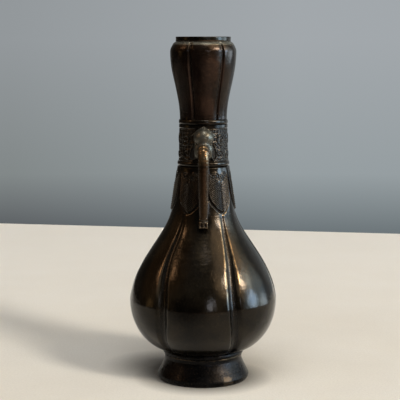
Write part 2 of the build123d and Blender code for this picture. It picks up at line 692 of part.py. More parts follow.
# Washers: flat under the rivet heads, curved to the neck's bore
with BuildPart() as rivet_washers:
    with BuildSketch(outward_plane(0, RIVET_SEAT, RIVET_HEIGHT)):
        Circle(WASHER_RADIUS)
        Circle(RIVET_RADIUS + JOINT_CLEARANCE, mode=Mode.SUBTRACT)
    extrude(amount=NECK_BORE_RADIUS)
    with BuildSketch(Plane.XY.offset(SLEEVE_BOTTOM)):
        Circle(NECK_BORE_RADIUS - SEAT_GAP)
    extrude(amount=SLEEVE_HEIGHT, mode=Mode.INTERSECT)
    mirror(about=Plane.XZ)
rivet_washers.part.label = "rivet_washers"
export_step(rivet_washers.part, "parts/rivet_washers.step")

# Pegs: through the shoulder's wall into each trunk tip, with a short burr left inside
with BuildPart() as trunk_pegs:
    with BuildSketch(outward_plane(0, TIP_SEAT - PEG_ROOT, TIP_HEIGHT)):
        Circle(PEG_RADIUS)
    extrude(amount=PEG_ROOT + PEG_GRIP)
    mirror(about=Plane.XZ)
trunk_pegs.part.label = "trunk_pegs"
export_step(trunk_pegs.part, "parts/trunk_pegs.step")
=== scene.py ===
"""Looks of the bronze bottle vase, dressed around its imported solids.

Sizes are millimetres in the frame of the solids, Z up and the front handle towards -Y.
Meshes are made in metres. Angles in plan are degrees from the front, growing towards +X.
"""

import math

import bpy
import numpy as np
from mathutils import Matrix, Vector


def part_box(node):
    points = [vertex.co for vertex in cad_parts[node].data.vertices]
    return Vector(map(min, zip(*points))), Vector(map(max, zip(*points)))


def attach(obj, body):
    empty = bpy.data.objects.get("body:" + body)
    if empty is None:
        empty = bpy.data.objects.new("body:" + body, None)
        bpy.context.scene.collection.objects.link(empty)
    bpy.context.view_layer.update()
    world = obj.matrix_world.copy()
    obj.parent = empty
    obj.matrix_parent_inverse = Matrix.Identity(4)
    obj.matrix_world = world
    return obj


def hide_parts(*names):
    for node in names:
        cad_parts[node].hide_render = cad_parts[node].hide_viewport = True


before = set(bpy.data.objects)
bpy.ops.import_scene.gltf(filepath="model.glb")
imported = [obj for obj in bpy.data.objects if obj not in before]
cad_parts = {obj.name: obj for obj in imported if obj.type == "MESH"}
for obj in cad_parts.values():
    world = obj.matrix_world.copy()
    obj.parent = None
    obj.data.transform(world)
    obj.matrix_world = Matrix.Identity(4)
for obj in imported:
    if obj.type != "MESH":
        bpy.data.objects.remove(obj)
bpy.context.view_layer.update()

MM = 0.001


def corner(node, end):
    """Lowest (0) or highest (1) corner of a solid, in millimetres."""
    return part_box(node)[end] / MM


# Levels of the stack, read from the solids
FOOT_TOP = corner("foot_ring", 1).z
BODY_BOTTOM = corner("foot_collar", 1).z
BODY_TOP = corner("lower_neck_ring", 0).z
SLEEVE_BOTTOM = corner("neck_sleeve", 0).z
SLEEVE_TOP = corner("neck_sleeve", 1).z
MOUTH_BOTTOM = corner("upper_neck_ring", 1).z
MOUTH_TOP = corner("mouth_section", 1).z
LIP_BOTTOM = corner("lip_ring", 0).z
LIP_TOP = corner("lip_ring", 1).z
SPIGOT_BOTTOM = corner("lobed_body", 0).z
SPIGOT_TOP = corner("lobed_body", 1).z
MOUTH_SPIGOT_BOTTOM = corner("mouth_section", 0).z
BODY_HEIGHT = BODY_TOP - BODY_BOTTOM
MOUTH_HEIGHT = MOUTH_TOP - MOUTH_BOTTOM

# Lobes, shared by the belly and the mouth
LOBE_STEP = 60.0

# Relief of the cast rings, read as wear where it is high and as grime where it is low
RELIEF_PASSES = 6
RELIEF_REACH = 0.16

# Turned pieces: foot, beads and lip
TURNED_RIPPLE = 0.5
RING_COLUMNS = 256
FOOT_COLUMNS = 320
FOOT_WAIST_RADIUS = 27.0
FOOT_WAIST_HEIGHT = FOOT_TOP - 3.0
FOOT_TOP_RADIUS = 27.5
FOOT_EDGE_INSET = 2.4
FOOT_EDGE_HEIGHT = 4.0
FOOT_FLARE_BOW = 0.65
FOOT_REST_WIDTH = 3.1
FOOT_REST_BEVEL = 0.3
FOOT_SOCKET_RADIUS = 24.7
LEDGE_RADIUS = 21.9
LEDGE_TOP = 10.0
LEDGE_BOTTOM = 7.5
BEAD_DEPTH = 1.3

# Body
BELLY_RADIUS = 52.7
BELLY_HEIGHT = 36.0
UNDERSIDE_RADIUS = 29.0
UNDERSIDE_INSET = 1.5
UNDERSIDE_ANGLE = math.radians(15)
NECK_RADIUS = 17.3
NECK_FLARE = 0.15
NECK_BORE_RADIUS = 12.8
NECK_SPIGOT_RADIUS = 14.9
NECK_THROAT = 8.0
BELLY_GROOVE_DEPTH = 2.9
BELLY_GROOVE_HALF = 4.4
BELLY_GROOVE_FADE = 40.0
BELLY_GROOVE_RUNOUT = 0.35
BELLY_CROWN = 1.4
BELLY_TURN = -3.5
GROOVE_EASING = 8
BODY_WALL = 3.2
BODY_SPIGOT_RADIUS = 24.6
BODY_SPIGOT_BORE = 22.1
BODY_COLUMNS = 720
UNDERSIDE_ROWS = 44
BELLY_ROWS = 62
SHOULDER_ROWS = 170
CORE_ROWS = 60

# The two front grooves: how far each strays, in degrees, by level above the underside
FRONT_GROOVES = (30.0, -33.0)
SWAY_LEVELS = (0, 6, 12, 19, 26, 40, 49, 58, 67, 76, 84, 98)
RIGHT_SWAY = (7.0, 5.5, 3.6, 1.0, -1.0, -1.8, -1.7, -0.9, 0.6, 2.6, 5.2, 8.0)
LEFT_SWAY = (-9.0, -7.5, -5.6, -2.4, -0.9, -0.5, -1.0, -2.5, -3.6, -3.5, -2.2, -1.5)
SWAY_ORDER = 5
SWAY_REACH = 50.0
RUBBED_REACH = 28.0

# Pendant leaves on the shoulder, the two front ones set one by one
LEAF_TOP = BODY_TOP - 0.3
LEAF_RELIEF = 0.7
LEAF_HALF_WIDTH = 8.6
LEAF_LENGTH = 30.9
LEAF_TIP = 14.0
LEAF_VEIN_STEP = 1.5
LEAF_CURL_ACROSS = 3.5
LEAF_CURL_DOWN = 6.2
LEAF_CURL_STEP = 1.7
LEAF_CURL_RADIUS = 3.4
LEAF_TURN = 3.5
LEAF_RUBBING = 0.18
FRONT_LEAVES = (36.0, -29.0)
LEAF_STRAYS = (4.4, -3.0)
LEAF_STRAY_REACH = 45.0
GROOVE_TOP = LEAF_TOP - LEAF_LENGTH - 0.2 - BODY_BOTTOM
SHOULDER_TOP = GROOVE_TOP + 3.0
SHOULDER_FULLNESS = 1.16

# Neck sleeve
SLEEVE_BOTTOM_RADIUS = 17.2
SLEEVE_TAPER = 0.5
SLEEVE_SOCKET_RADIUS = 15.0
SLEEVE_SOCKET_DEPTH = 4.7
SLEEVE_RUBBING = 0.3
SLEEVE_COLUMNS = 600
SLEEVE_ROWS = 130
BAND_TOP = SLEEVE_TOP - 2.3
BAND_CELL = 2.7
SCROLL_HALF_WIDTH = 0.95

# Mouth and lip
MOUTH_BOTTOM_RADIUS = 16.6
MOUTH_RADIUS = 23.2
MOUTH_BULGE = 2.0
MOUTH_SWELL = MOUTH_HEIGHT - 6.8
MOUTH_LOBE_TOP = MOUTH_HEIGHT - 1.6
MOUTH_SLOPE_BOW = 1.3
MOUTH_GROOVE_DEPTH = 1.1
MOUTH_GROOVE_HALF = 3.4
MOUTH_EASING = 5
MOUTH_CROWN = 0.5
MOUTH_TURN = 5.0
MOUTH_WALL = 2.4
MOUTH_RUBBING = 0.2
MOUTH_BLOOM = 0.95
MOUTH_COLUMNS = 720
LIP_RADIUS = 19.0
LIP_BORE_RADIUS = 15.6
LIP_SKIRT_RADIUS = 17.2
LIP_ROUNDING = 0.5
LIP_SEAT = LIP_BOTTOM - 0.2
LIP_REBATE_RADIUS = LIP_SKIRT_RADIUS + 0.1
# Grey-green bloom on the lip's right side, painted also as the sheen of a reflection there
LIP_SHEEN_BLOOM = 0.12
LIP_SHEEN_ANGLES = (38.0,)
LIP_SHEEN_REACH = 60.0

# Handles
HEAD_HEIGHT = SLEEVE_TOP - 8.4
HEAD_SEAT = 16.87
HOOD_HALF_WIDTH = 7.9
HOOD_RISE = 7.2
HOOD_DROP = 5.8
HOOD_RADIUS = 0.4
EAR_ANGLE = 24.0
EAR_TOP = HEAD_HEIGHT - 3.4
EAR_LENGTH = 12.0
EAR_HALF_WIDTH = 2.7
TRUNK_HEIGHT = HEAD_HEIGHT - 8.1
TRUNK_BEND = 5.5
TRUNK_ROOT = 2.0
TRUNK_TOP_RADIUS = 3.75
TRUNK_END_RADIUS = 2.9
TRUNK_REACH = -corner("front_trunk", 0).y - TRUNK_TOP_RADIUS
TIP_WIDTH = 6.1
TIP_THICKNESS = 4.6
TIP_PROUD = 6.3
TIP_HEIGHT = corner("front_trunk", 0).z + TIP_THICKNESS / 2
TRUNK_END_HEIGHT = TIP_HEIGHT + 1.2
HEAD_BOX = ((-12.5, -30.0, HEAD_HEIGHT - 18), (12.5, -12.0, HEAD_HEIGHT + 9))
TRUNK_BOX = ((-5.0, -36.5, TIP_HEIGHT - 4), (5.0, -19.0, TRUNK_HEIGHT + 5))
GRID_STEP = 0.25


def smooth(value, low, high):
    """A soft step from 0 at low to 1 at high."""
    share = np.clip((value - low) / (high - low), 0.0, 1.0)
    return share * share * (3 - 2 * share)


def ridge(distance, half_width):
    """A rounded ridge, 1 on its line and 0 from its half width on."""
    return smooth(-np.abs(distance), -half_width, 0.0)


def add_mesh(name, vertices, quads, material, marks, sharp_angle=40):
    """A smooth mesh object from points in millimetres, with its marks by point."""
    mesh = bpy.data.meshes.new(name)
    mesh.from_pydata((vertices * MM).tolist(), [], quads.tolist())
    mesh.polygons.foreach_set("use_smooth", np.ones(len(quads), dtype=bool))
    mesh.set_sharp_from_angle(angle=math.radians(sharp_angle))
    for label, values in marks.items():
        attribute = mesh.attributes.new(label, "FLOAT", "POINT")
        attribute.data.foreach_set("value", np.asarray(values, dtype=np.float32).ravel())
    mesh.materials.append(material)
    piece = bpy.data.objects.new(name, mesh)
    bpy.context.scene.collection.objects.link(piece)
    return piece


def dress(piece, node):
    """Let a piece stand for a solid."""
    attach(piece, "root")
    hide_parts(node)


def ring_points(radius, height):
    """Points of stacked rings: radius and height by row and column."""
    angle = np.linspace(0, 2 * math.pi, radius.shape[1], endpoint=False)
    return np.stack([radius * np.sin(angle), -radius * np.cos(angle), height], axis=-1).reshape(-1, 3)


def ring_quads(rows, columns):
    """Faces of stacked rings whose last row joins the first."""
    index = np.arange(rows * columns).reshape(rows, columns)
    right = np.roll(index, -1, axis=1)
    above = np.roll(index, -1, axis=0)
    return np.stack([index, right, np.roll(right, -1, axis=0), above], axis=-1).reshape(-1, 4)


def point_normals(vertices, quads):
    """Unit normals at the points of a quad mesh."""
    across = vertices[quads[:, 2]] - vertices[quads[:, 0]]
    along = vertices[quads[:, 3]] - vertices[quads[:, 1]]
    face = np.cross(across, along)
    total = np.zeros_like(vertices)
    for place in range(4):
        for axis in range(3):
            total[:, axis] += np.bincount(quads[:, place], weights=face[:, axis], minlength=len(vertices))
    return total / np.maximum(np.linalg.norm(total, axis=1, keepdims=True), 1e-9)


def relief_height(vertices, quads, passes):
    """How far each point stands above or below its smoothed neighbourhood, in millimetres."""
    starts = quads.ravel()
    ends = np.roll(quads, -1, axis=1).ravel()
    ties = np.bincount(starts, minlength=len(vertices)) + np.bincount(ends, minlength=len(vertices))
    calm = vertices.copy()
    for _ in range(passes):
        total = np.zeros_like(calm)
        for axis in range(3):
            total[:, axis] += np.bincount(starts, weights=calm[ends, axis], minlength=len(calm))
            total[:, axis] += np.bincount(ends, weights=calm[starts, axis], minlength=len(calm))
        calm = total / np.maximum(ties, 1)[:, None]
    return np.einsum("ij,ij->i", vertices - calm, point_normals(vertices, quads))


def surface_marks(vertices, quads, passes, rest, reach):
    """Wear on what stands proud and grime in what lies low; rest is the height of the plain form."""
    height = relief_height(vertices, quads, passes)
    return {"wear": np.clip((height - rest) / reach, 0, 1), "grime_and_shade": np.clip(-height / reach, 0, 1)}


def eased(radius, passes):
    """Round the sharp edges of each ring a little."""
    for _ in range(passes):
        radius = (np.roll(radius, 1, axis=1) + 2 * radius + np.roll(radius, -1, axis=1)) / 4
    return radius


def blurred(rows, passes):
    """Rows and columns of rings blurred together, closed round the rings."""
    for _ in range(passes):
        padded = np.pad(rows, ((1, 1), (0, 0)), mode="edge")
        rows = eased((padded[:-2] + 2 * rows + padded[2:]) / 4, 1)
    return rows


def ring_marks(radius):
    """Wear and grime of a ring mesh, from its relief on the turned form."""
    relief = radius - radius.mean(axis=1, keepdims=True)
    height = (relief - blurred(relief, RELIEF_PASSES)) / RELIEF_REACH
    return {"wear": np.clip(height, 0, 1), "grime_and_shade": np.clip(-height, 0, 1)}


def cast_ripple(angle, height):
    """The slight unevenness of a hand-finished casting, in millimetres."""
    turn = np.radians(angle)
    return (0.07 * np.sin(3 * turn + height / 17) + 0.05 * np.sin(7 * turn - height / 9 + 1.3)
            + 0.03 * np.sin(13 * turn + height / 4.1 + 0.4) + 0.02 * np.sin(23 * turn - height / 2.7))


def columns_of(count):
    """Plan angles of the columns of a ring mesh."""
    return np.linspace(0, 360, count, endpoint=False)[None, :]


def plain_rows(points, columns):
    """Radius and height of plain rings through profile points."""
    profile = np.array(points, dtype=float)
    return np.repeat(profile[:, :1], columns, axis=1), np.repeat(profile[:, 1:], columns, axis=1)


def joined(*parts):
    """Radius and height of several groups of rings, one after another."""
    return [np.concatenate(rows) for rows in zip(*parts)]


def angle_between(angle, other, step=360):
    """Signed degrees between two plan angles that repeat at each step, the short way round."""
    return (angle - other + step / 2) % step - step / 2


def beside(angle, lines, reach):
    """Nearness to each of some plan angles, 1 on it and 0 from its reach on."""
    return [ridge(angle_between(angle, line), reach) for line in lines]


def lobed(crest, crown, groove, groove_half, turn, angle):
    """Radius round a lobed section, of crowned lobes and hollow grooves."""
    offset = np.abs(angle_between(angle, turn, LOBE_STEP))
    edge_angle = LOBE_STEP / 2 - groove_half
    edge = crest - crown
    centre = (crest**2 - edge**2) / (2 * (crest - edge * math.cos(math.radians(edge_angle))))
    side = np.radians(offset)
    lobe = centre * np.cos(side) + np.sqrt((crest - centre) ** 2 - (centre * np.sin(side)) ** 2)
    bed = edge - groove
    far = (edge**2 - bed**2) / (2 * (edge * math.cos(math.radians(groove_half)) - bed))
    turned = np.radians(LOBE_STEP / 2 - offset)
    hollow = far * np.cos(turned) - np.sqrt(np.maximum((far - bed) ** 2 - (far * np.sin(turned)) ** 2, 0))
    return np.where(offset < edge_angle, lobe, hollow)


def belly_radius(level):
    """Radius over the lobes of the body, at heights above its underside."""
    rise = np.arccos(np.clip(math.cos(UNDERSIDE_ANGLE) * (1 - level / BELLY_HEIGHT), -1, 1))
    share = (np.sin(rise) - math.sin(UNDERSIDE_ANGLE)) / (1 - math.sin(UNDERSIDE_ANGLE))
    bowl = UNDERSIDE_RADIUS + (BELLY_RADIUS - UNDERSIDE_RADIUS) * share
    throat = NECK_RADIUS + NECK_FLARE * (BODY_HEIGHT - level)
    swell = BELLY_RADIUS - NECK_RADIUS - NECK_FLARE * (BODY_HEIGHT - BELLY_HEIGHT)
    travel = np.clip((level - BELLY_HEIGHT) / (SHOULDER_TOP - BELLY_HEIGHT), 0, 1)
    shoulder = throat + swell * (1 + np.cos(math.pi * travel**SHOULDER_FULLNESS)) / 2
    return np.where(level < BELLY_HEIGHT, bowl, shoulder)


def groove_sway(level, angle):
    """How far the front grooves stray from an even spacing, in degrees, to meet leaf and foot."""
    held = np.clip(level, 0, GROOVE_TOP)
    right = np.polyval(np.polyfit(SWAY_LEVELS, RIGHT_SWAY, SWAY_ORDER), held)
    left = np.polyval(np.polyfit(SWAY_LEVELS, LEFT_SWAY, SWAY_ORDER), held)
    by_right, by_left = beside(angle, FRONT_GROOVES, SWAY_REACH)
    return right * by_right + left * by_left


def belly_ring(level, angle):
    """Radius of the lobed belly; the lobes run out softly below the leaf tips."""
    crest = belly_radius(level)
    lobing = np.clip((GROOVE_TOP - level) / BELLY_GROOVE_FADE, 0, 1) * crest / BELLY_RADIUS
    groove = BELLY_GROOVE_RUNOUT + (BELLY_GROOVE_DEPTH - BELLY_GROOVE_RUNOUT) * lobing
    strayed = angle - groove_sway(level, angle)
    section = lobed(crest, BELLY_CROWN * lobing, groove, BELLY_GROOVE_HALF, BELLY_TURN, strayed)
    return crest + (section - crest) * smooth(GROOVE_TOP - level, -1, 3)


def leaf_place(radius, height, angle):
    """Distances on the nearest leaf: off its midrib, down from its top and in from its outline."""
    by_right, by_left = beside(angle, FRONT_LEAVES, LEAF_STRAY_REACH)
    strayed = angle - LEAF_STRAYS[0] * by_right - LEAF_STRAYS[1] * by_left
    leaf_angle = LEAF_TURN + LOBE_STEP * (np.floor((strayed - LEAF_TURN) / LOBE_STEP) + 0.5)
    across = np.abs(radius * np.sin(np.radians(strayed - leaf_angle)))
    down = LEAF_TOP - height
    bow = (LEAF_HALF_WIDTH**2 + LEAF_TIP**2) / (2 * LEAF_HALF_WIDTH)
    below = np.clip(down - (LEAF_LENGTH - LEAF_TIP), 0, bow)
    chord = np.sqrt(bow**2 - below**2)
    inside = np.minimum((LEAF_HALF_WIDTH - bow + chord - across) * chord / bow, down)
    return across, down, inside


def leaf_relief(across, down, inside):
    """Relief of the leaves: a cut outline, curls at the top, a beaded rib and fine slanting veins."""
    curl_x = across - LEAF_CURL_ACROSS
    curl_z = down - LEAF_CURL_DOWN
    curl = np.hypot(curl_x, curl_z)
    spiral = np.cos(2 * math.pi * curl / LEAF_CURL_STEP - np.arctan2(curl_z, curl_x))
    spiral = spiral * smooth(-curl, -LEAF_CURL_RADIUS, 0.6 - LEAF_CURL_RADIUS)
    slant = down + across
    vein = np.cos(2 * math.pi * slant / LEAF_VEIN_STEP) * smooth(slant, 11.0, 12.5)
    rib = (0.6 + np.cos(2 * math.pi * down / LEAF_VEIN_STEP)) * ridge(across, 0.9) * smooth(down, 4, 6)
    field = smooth(inside, 0.4, 1.0)
    outline = LEAF_RELIEF * smooth(inside, -0.1, 0.4) - 0.65 * ridge(inside + 0.6, 1.0)
    return outline + field * (0.20 * spiral + 0.27 * vein + 0.20 * rib)


def body_core(angle):
    """Radius and height of the rings inside the body, a wall's thickness in from the belly."""
    level = np.linspace(0, GROOVE_TOP, CORE_ROWS)[:, None]
    slope = np.gradient(belly_radius(level)[:, 0], level[:, 0])[:, None]
    length = np.hypot(1, slope)
    radius = belly_ring(level, angle) - BODY_WALL / length
    height = BODY_BOTTOM + level + BODY_WALL * slope / length
    return radius, np.repeat(height, BODY_COLUMNS, axis=1)


def body_rubbing(angle, height):
    """Share of wear on the body: slight on the belly, more on the shoulder and by the front grooves."""
    level = height - BODY_BOTTOM
    rubbed = 0.12 + 0.75 * smooth(level, BELLY_HEIGHT + 2, BELLY_HEIGHT + 22)
    by_right, by_left = beside(angle, FRONT_GROOVES, RUBBED_REACH)
    return rubbed * (1 + (2 * by_right + by_left) * smooth(level, 30, 50))


def make_cast_ring(name, node, radius, height, rubbing, bloom_and_sheen, material):
    """A lobed or carved casting from closed rings, with its wear, grime and bloom."""
    vertices = ring_points(radius, height)
    marks = ring_marks(radius)
    marks["wear"] = np.clip(marks["wear"] * rubbing, 0, 1)
    marks["bloom_and_sheen"] = np.zeros(radius.shape) + bloom_and_sheen
    piece = add_mesh(name, vertices, ring_quads(*radius.shape), material, marks, 60)
    dress(piece, node)


def make_body(material):
    """Belly, shoulder and leaves on one casting, with the spigots that go into its neighbours."""
    angle = columns_of(BODY_COLUMNS)
    underside_turn = np.linspace(UNDERSIDE_ANGLE, math.pi / 2, UNDERSIDE_ROWS)
    underside = BELLY_HEIGHT * (1 - np.cos(underside_turn) / math.cos(UNDERSIDE_ANGLE))
    fine_from = GROOVE_TOP - 4
    belly = np.linspace(BELLY_HEIGHT, fine_from, BELLY_ROWS)[1:]
    shoulder = np.linspace(fine_from, BODY_HEIGHT, SHOULDER_ROWS)[1:]
    level = np.concatenate([underside, belly, shoulder])[:, None]
    outer = eased(belly_ring(level, angle), GROOVE_EASING)
    outer_height = np.repeat(BODY_BOTTOM + level, BODY_COLUMNS, axis=1)
    across, down, inside = leaf_place(outer, outer_height, angle)
    outer = outer + leaf_relief(across, down, inside) * smooth(level, GROOVE_TOP - 2, GROOVE_TOP)
    outer = outer + cast_ripple(angle, outer_height)
    core = [rows[::-1] for rows in body_core(angle)]
    below = plain_rows([
        (BODY_SPIGOT_BORE, SPIGOT_BOTTOM), (BODY_SPIGOT_RADIUS, SPIGOT_BOTTOM),
        (BODY_SPIGOT_RADIUS, BODY_BOTTOM), (UNDERSIDE_RADIUS - UNDERSIDE_INSET, BODY_BOTTOM),
    ], BODY_COLUMNS)
    above = plain_rows([
        (NECK_SPIGOT_RADIUS, BODY_TOP), (NECK_SPIGOT_RADIUS, SPIGOT_TOP),
        (NECK_BORE_RADIUS, SPIGOT_TOP), (NECK_BORE_RADIUS, BODY_TOP),
        (NECK_RADIUS - BODY_WALL, BODY_TOP - NECK_THROAT),
    ], BODY_COLUMNS)
    floor = plain_rows([(BODY_SPIGOT_BORE, core[1][-1, 0])], BODY_COLUMNS)
    radius, height = joined(below, (outer, outer_height), above, core, floor)
    rubbing = body_rubbing(angle, height)
    outside = slice(len(below[0]), len(below[0]) + len(outer))
    on_leaf = LEAF_RUBBING * smooth(inside, 0.5, 1.1)
    rubbing[outside] = np.where(down < LEAF_LENGTH, on_leaf, rubbing[outside])
    make_cast_ring("bronze_body", "lobed_body", radius, height, rubbing, 0, material)


def scroll(centre, size, turns, start, hand):
    """Points of a spiral line that opens from its centre."""
    share = np.linspace(0.08, 1, 26)
    turn = start + hand * 2 * math.pi * turns * share
    across = centre[0] + size * share * np.cos(turn)
    up = centre[1] + size * share * np.sin(turn)
    return np.stack([across, up], axis=-1)


def band_relief(angle, height):
    """Scroll ornament of the neck band: broad hooked scrolls over a ground of small squared spirals."""
    folded = np.abs((angle + 90) % 180 - 90)
    side = 90 - folded
    across = side / 360 * 2 * math.pi * SLEEVE_BOTTOM_RADIUS
    up = height - SLEEVE_BOTTOM
    cell_x = (across % BAND_CELL) / BAND_CELL * 2 - 1
    cell_z = ((up - 0.6) % BAND_CELL) / BAND_CELL * 2 - 1
    squared = np.maximum(np.abs(cell_x), np.abs(cell_z))
    ground = np.cos(2 * math.pi * squared * 1.5 - np.arctan2(cell_z, cell_x))
    lines = [
        scroll((4.2, 16.2), 3.9, 1.35, 2.6, 1),
        scroll((13.2, 15.4), 4.3, 1.4, 0.4, -1),
        scroll((5.6, 6.0), 4.2, 1.4, -0.6, -1),
        scroll((14.8, 5.6), 3.7, 1.3, 3.0, 1),
        scroll((20.6, 10.4), 3.3, 1.25, 1.2, 1),
    ]
    raised = np.zeros(angle.shape)
    for line in lines:
        away = tube((across, up), line, [0.0] * len(line))[0]
        raised = np.maximum(raised, ridge(away, SCROLL_HALF_WIDTH))
    below_top = BAND_TOP - height
    panel = smooth(up, 0.7, 1.2) * smooth(below_top, 0.5, 1.0)
    relief = -0.16 + 0.12 * ground * (1 - raised) + 0.5 * raised
    edge = 0.22 * ridge(up - 0.45, 0.5) - 0.3 * ridge(below_top - 0.2, 0.5)
    return panel * relief + edge + 0.12 * smooth(height, BAND_TOP, BAND_TOP + 0.4)


def make_sleeve(material):
    """The decorated neck band, with a socket at each end."""
    angle = np.repeat(columns_of(SLEEVE_COLUMNS), SLEEVE_ROWS, axis=0)
    levels = np.linspace(SLEEVE_BOTTOM, SLEEVE_TOP, SLEEVE_ROWS)[:, None]
    height = np.repeat(levels, SLEEVE_COLUMNS, axis=1)
    outer = SLEEVE_BOTTOM_RADIUS - SLEEVE_TAPER * (height - SLEEVE_BOTTOM) / (SLEEVE_TOP - SLEEVE_BOTTOM)
    outer = outer + band_relief(angle, height) + cast_ripple(angle, height)
    upper_step = SLEEVE_TOP - SLEEVE_SOCKET_DEPTH
    lower_step = SLEEVE_BOTTOM + SLEEVE_SOCKET_DEPTH
    inner = plain_rows([
        (SLEEVE_SOCKET_RADIUS, SLEEVE_TOP), (SLEEVE_SOCKET_RADIUS, upper_step),
        (NECK_BORE_RADIUS, upper_step), (NECK_BORE_RADIUS, lower_step),
        (SLEEVE_SOCKET_RADIUS, lower_step), (SLEEVE_SOCKET_RADIUS, SLEEVE_BOTTOM),
    ], SLEEVE_COLUMNS)
    radius, height = joined((outer, height), inner)
    make_cast_ring("scroll_band", "neck_sleeve", radius, height, SLEEVE_RUBBING, 0, material)


def mouth_ring(level, angle):
    """Radius of the lobed mouth by level and angle."""
    rise = (1 - np.cos(math.pi * level / MOUTH_SWELL)) / 2
    flare = MOUTH_BOTTOM_RADIUS + (MOUTH_RADIUS - MOUTH_BOTTOM_RADIUS) * rise
    travel = np.clip((level - MOUTH_SWELL) / (MOUTH_LOBE_TOP - MOUTH_SWELL), 0, 1)
    bulge = MOUTH_RADIUS - MOUTH_BULGE * (1 - np.cos(math.pi * travel / 2))
    crest = np.where(level < MOUTH_SWELL, flare, bulge)
    return lobed(crest, MOUTH_CROWN, MOUTH_GROOVE_DEPTH, MOUTH_GROOVE_HALF, MOUTH_TURN, angle)


def mouth_core():
    """Profile inside the mouth: the rebate for the lip, its seat and the flare down to the neck's bore."""
    seat = [
        (LIP_REBATE_RADIUS, MOUTH_TOP), (LIP_REBATE_RADIUS, LIP_SEAT),
        (LIP_BORE_RADIUS, LIP_SEAT), (LIP_BORE_RADIUS, LIP_SEAT - 1.6),
    ]
    level = np.linspace(MOUTH_SWELL, 0, 24)[4:]
    rise = (1 - np.cos(math.pi * level / MOUTH_SWELL)) / 2
    widest = MOUTH_RADIUS - MOUTH_CROWN - MOUTH_GROOVE_DEPTH - MOUTH_WALL
    flare = NECK_BORE_RADIUS + (widest - NECK_BORE_RADIUS) * rise
    return seat + list(zip(flare, MOUTH_BOTTOM + level))


def make_mouth(material):
    """The lobed mouth with its pale sloping shoulder, a spigot below and a rebate for the lip."""
    angle = columns_of(MOUTH_COLUMNS)
    rising = np.linspace(0, MOUTH_SWELL, 70)
    closing = np.linspace(MOUTH_SWELL, MOUTH_LOBE_TOP, 24)[1:]
    level = np.concatenate([rising, closing])[:, None]
    outer = eased(mouth_ring(level, angle), MOUTH_EASING)
    outer_height = np.repeat(MOUTH_BOTTOM + level, MOUTH_COLUMNS, axis=1)
    outer = outer + cast_ripple(angle, outer_height)
    slope_share = np.linspace(0, 1, 12)[1:, None]
    slope = outer[-1:] + (LIP_RADIUS - outer[-1:]) * slope_share**MOUTH_SLOPE_BOW
    slope_height = outer_height[-1:] + (MOUTH_TOP - outer_height[-1:]) * slope_share
    below = plain_rows([
        (NECK_BORE_RADIUS, MOUTH_SPIGOT_BOTTOM),
        (NECK_SPIGOT_RADIUS, MOUTH_SPIGOT_BOTTOM),
        (NECK_SPIGOT_RADIUS, MOUTH_BOTTOM),
    ], MOUTH_COLUMNS)
    inner = plain_rows(mouth_core(), MOUTH_COLUMNS)
    radius, height = joined(below, (outer, outer_height), (slope, slope_height), inner)
    shoulder = MOUTH_BOTTOM + MOUTH_LOBE_TOP
    bloom_and_sheen = MOUTH_BLOOM * smooth(height, shoulder - 1.2, shoulder + 0.2)
    bloom_and_sheen = bloom_and_sheen * smooth(radius, LIP_SKIRT_RADIUS, LIP_SKIRT_RADIUS + 1)
    make_cast_ring("lobed_mouth", "mouth_section", radius, height, MOUTH_RUBBING, bloom_and_sheen, material)


def make_turned(name, node, profile, columns, material, sheen_angles=()):
    """A turned piece from a closed profile, with grey-green bloom and a painted sheen about some angles."""
    radius, height = plain_rows(profile, columns)
    radius = radius + TURNED_RIPPLE * cast_ripple(columns_of(columns), height)
    vertices = ring_points(radius, height)
    quads = ring_quads(*radius.shape)
    marks = surface_marks(vertices, quads, 2, 0.10, 0.30)
    marks["bloom_and_sheen"] = np.zeros(radius.shape)
    # Grey-green bloom about the given angles, painted also as the sheen of a reflection
    for near in beside(columns_of(columns), sheen_angles, LIP_SHEEN_REACH):
        marks["bloom_and_sheen"] = marks["bloom_and_sheen"] + LIP_SHEEN_BLOOM * near
    piece = add_mesh(name, vertices, quads, material, marks)
    dress(piece, node)


def arc_points(centre, radii, start, end, count):
    """Points of an elliptical arc between two angles in degrees."""
    turn = np.radians(np.linspace(start, end, count))
    return [(centre[0] + radii[0] * math.cos(t), centre[1] + radii[1] * math.sin(t)) for t in turn]


def make_bead(name, node, bore, material):
    """A half-round bead over the joint of two castings."""
    low = corner(node, 0).z
    high = corner(node, 1).z
    centre = (corner(node, 1).x - BEAD_DEPTH, (low + high) / 2)
    bow = arc_points(centre, (BEAD_DEPTH, (high - low) / 2), -90, 90, 19)
    make_turned(name, node, [(bore, low)] + bow + [(bore, high)], RING_COLUMNS, material)


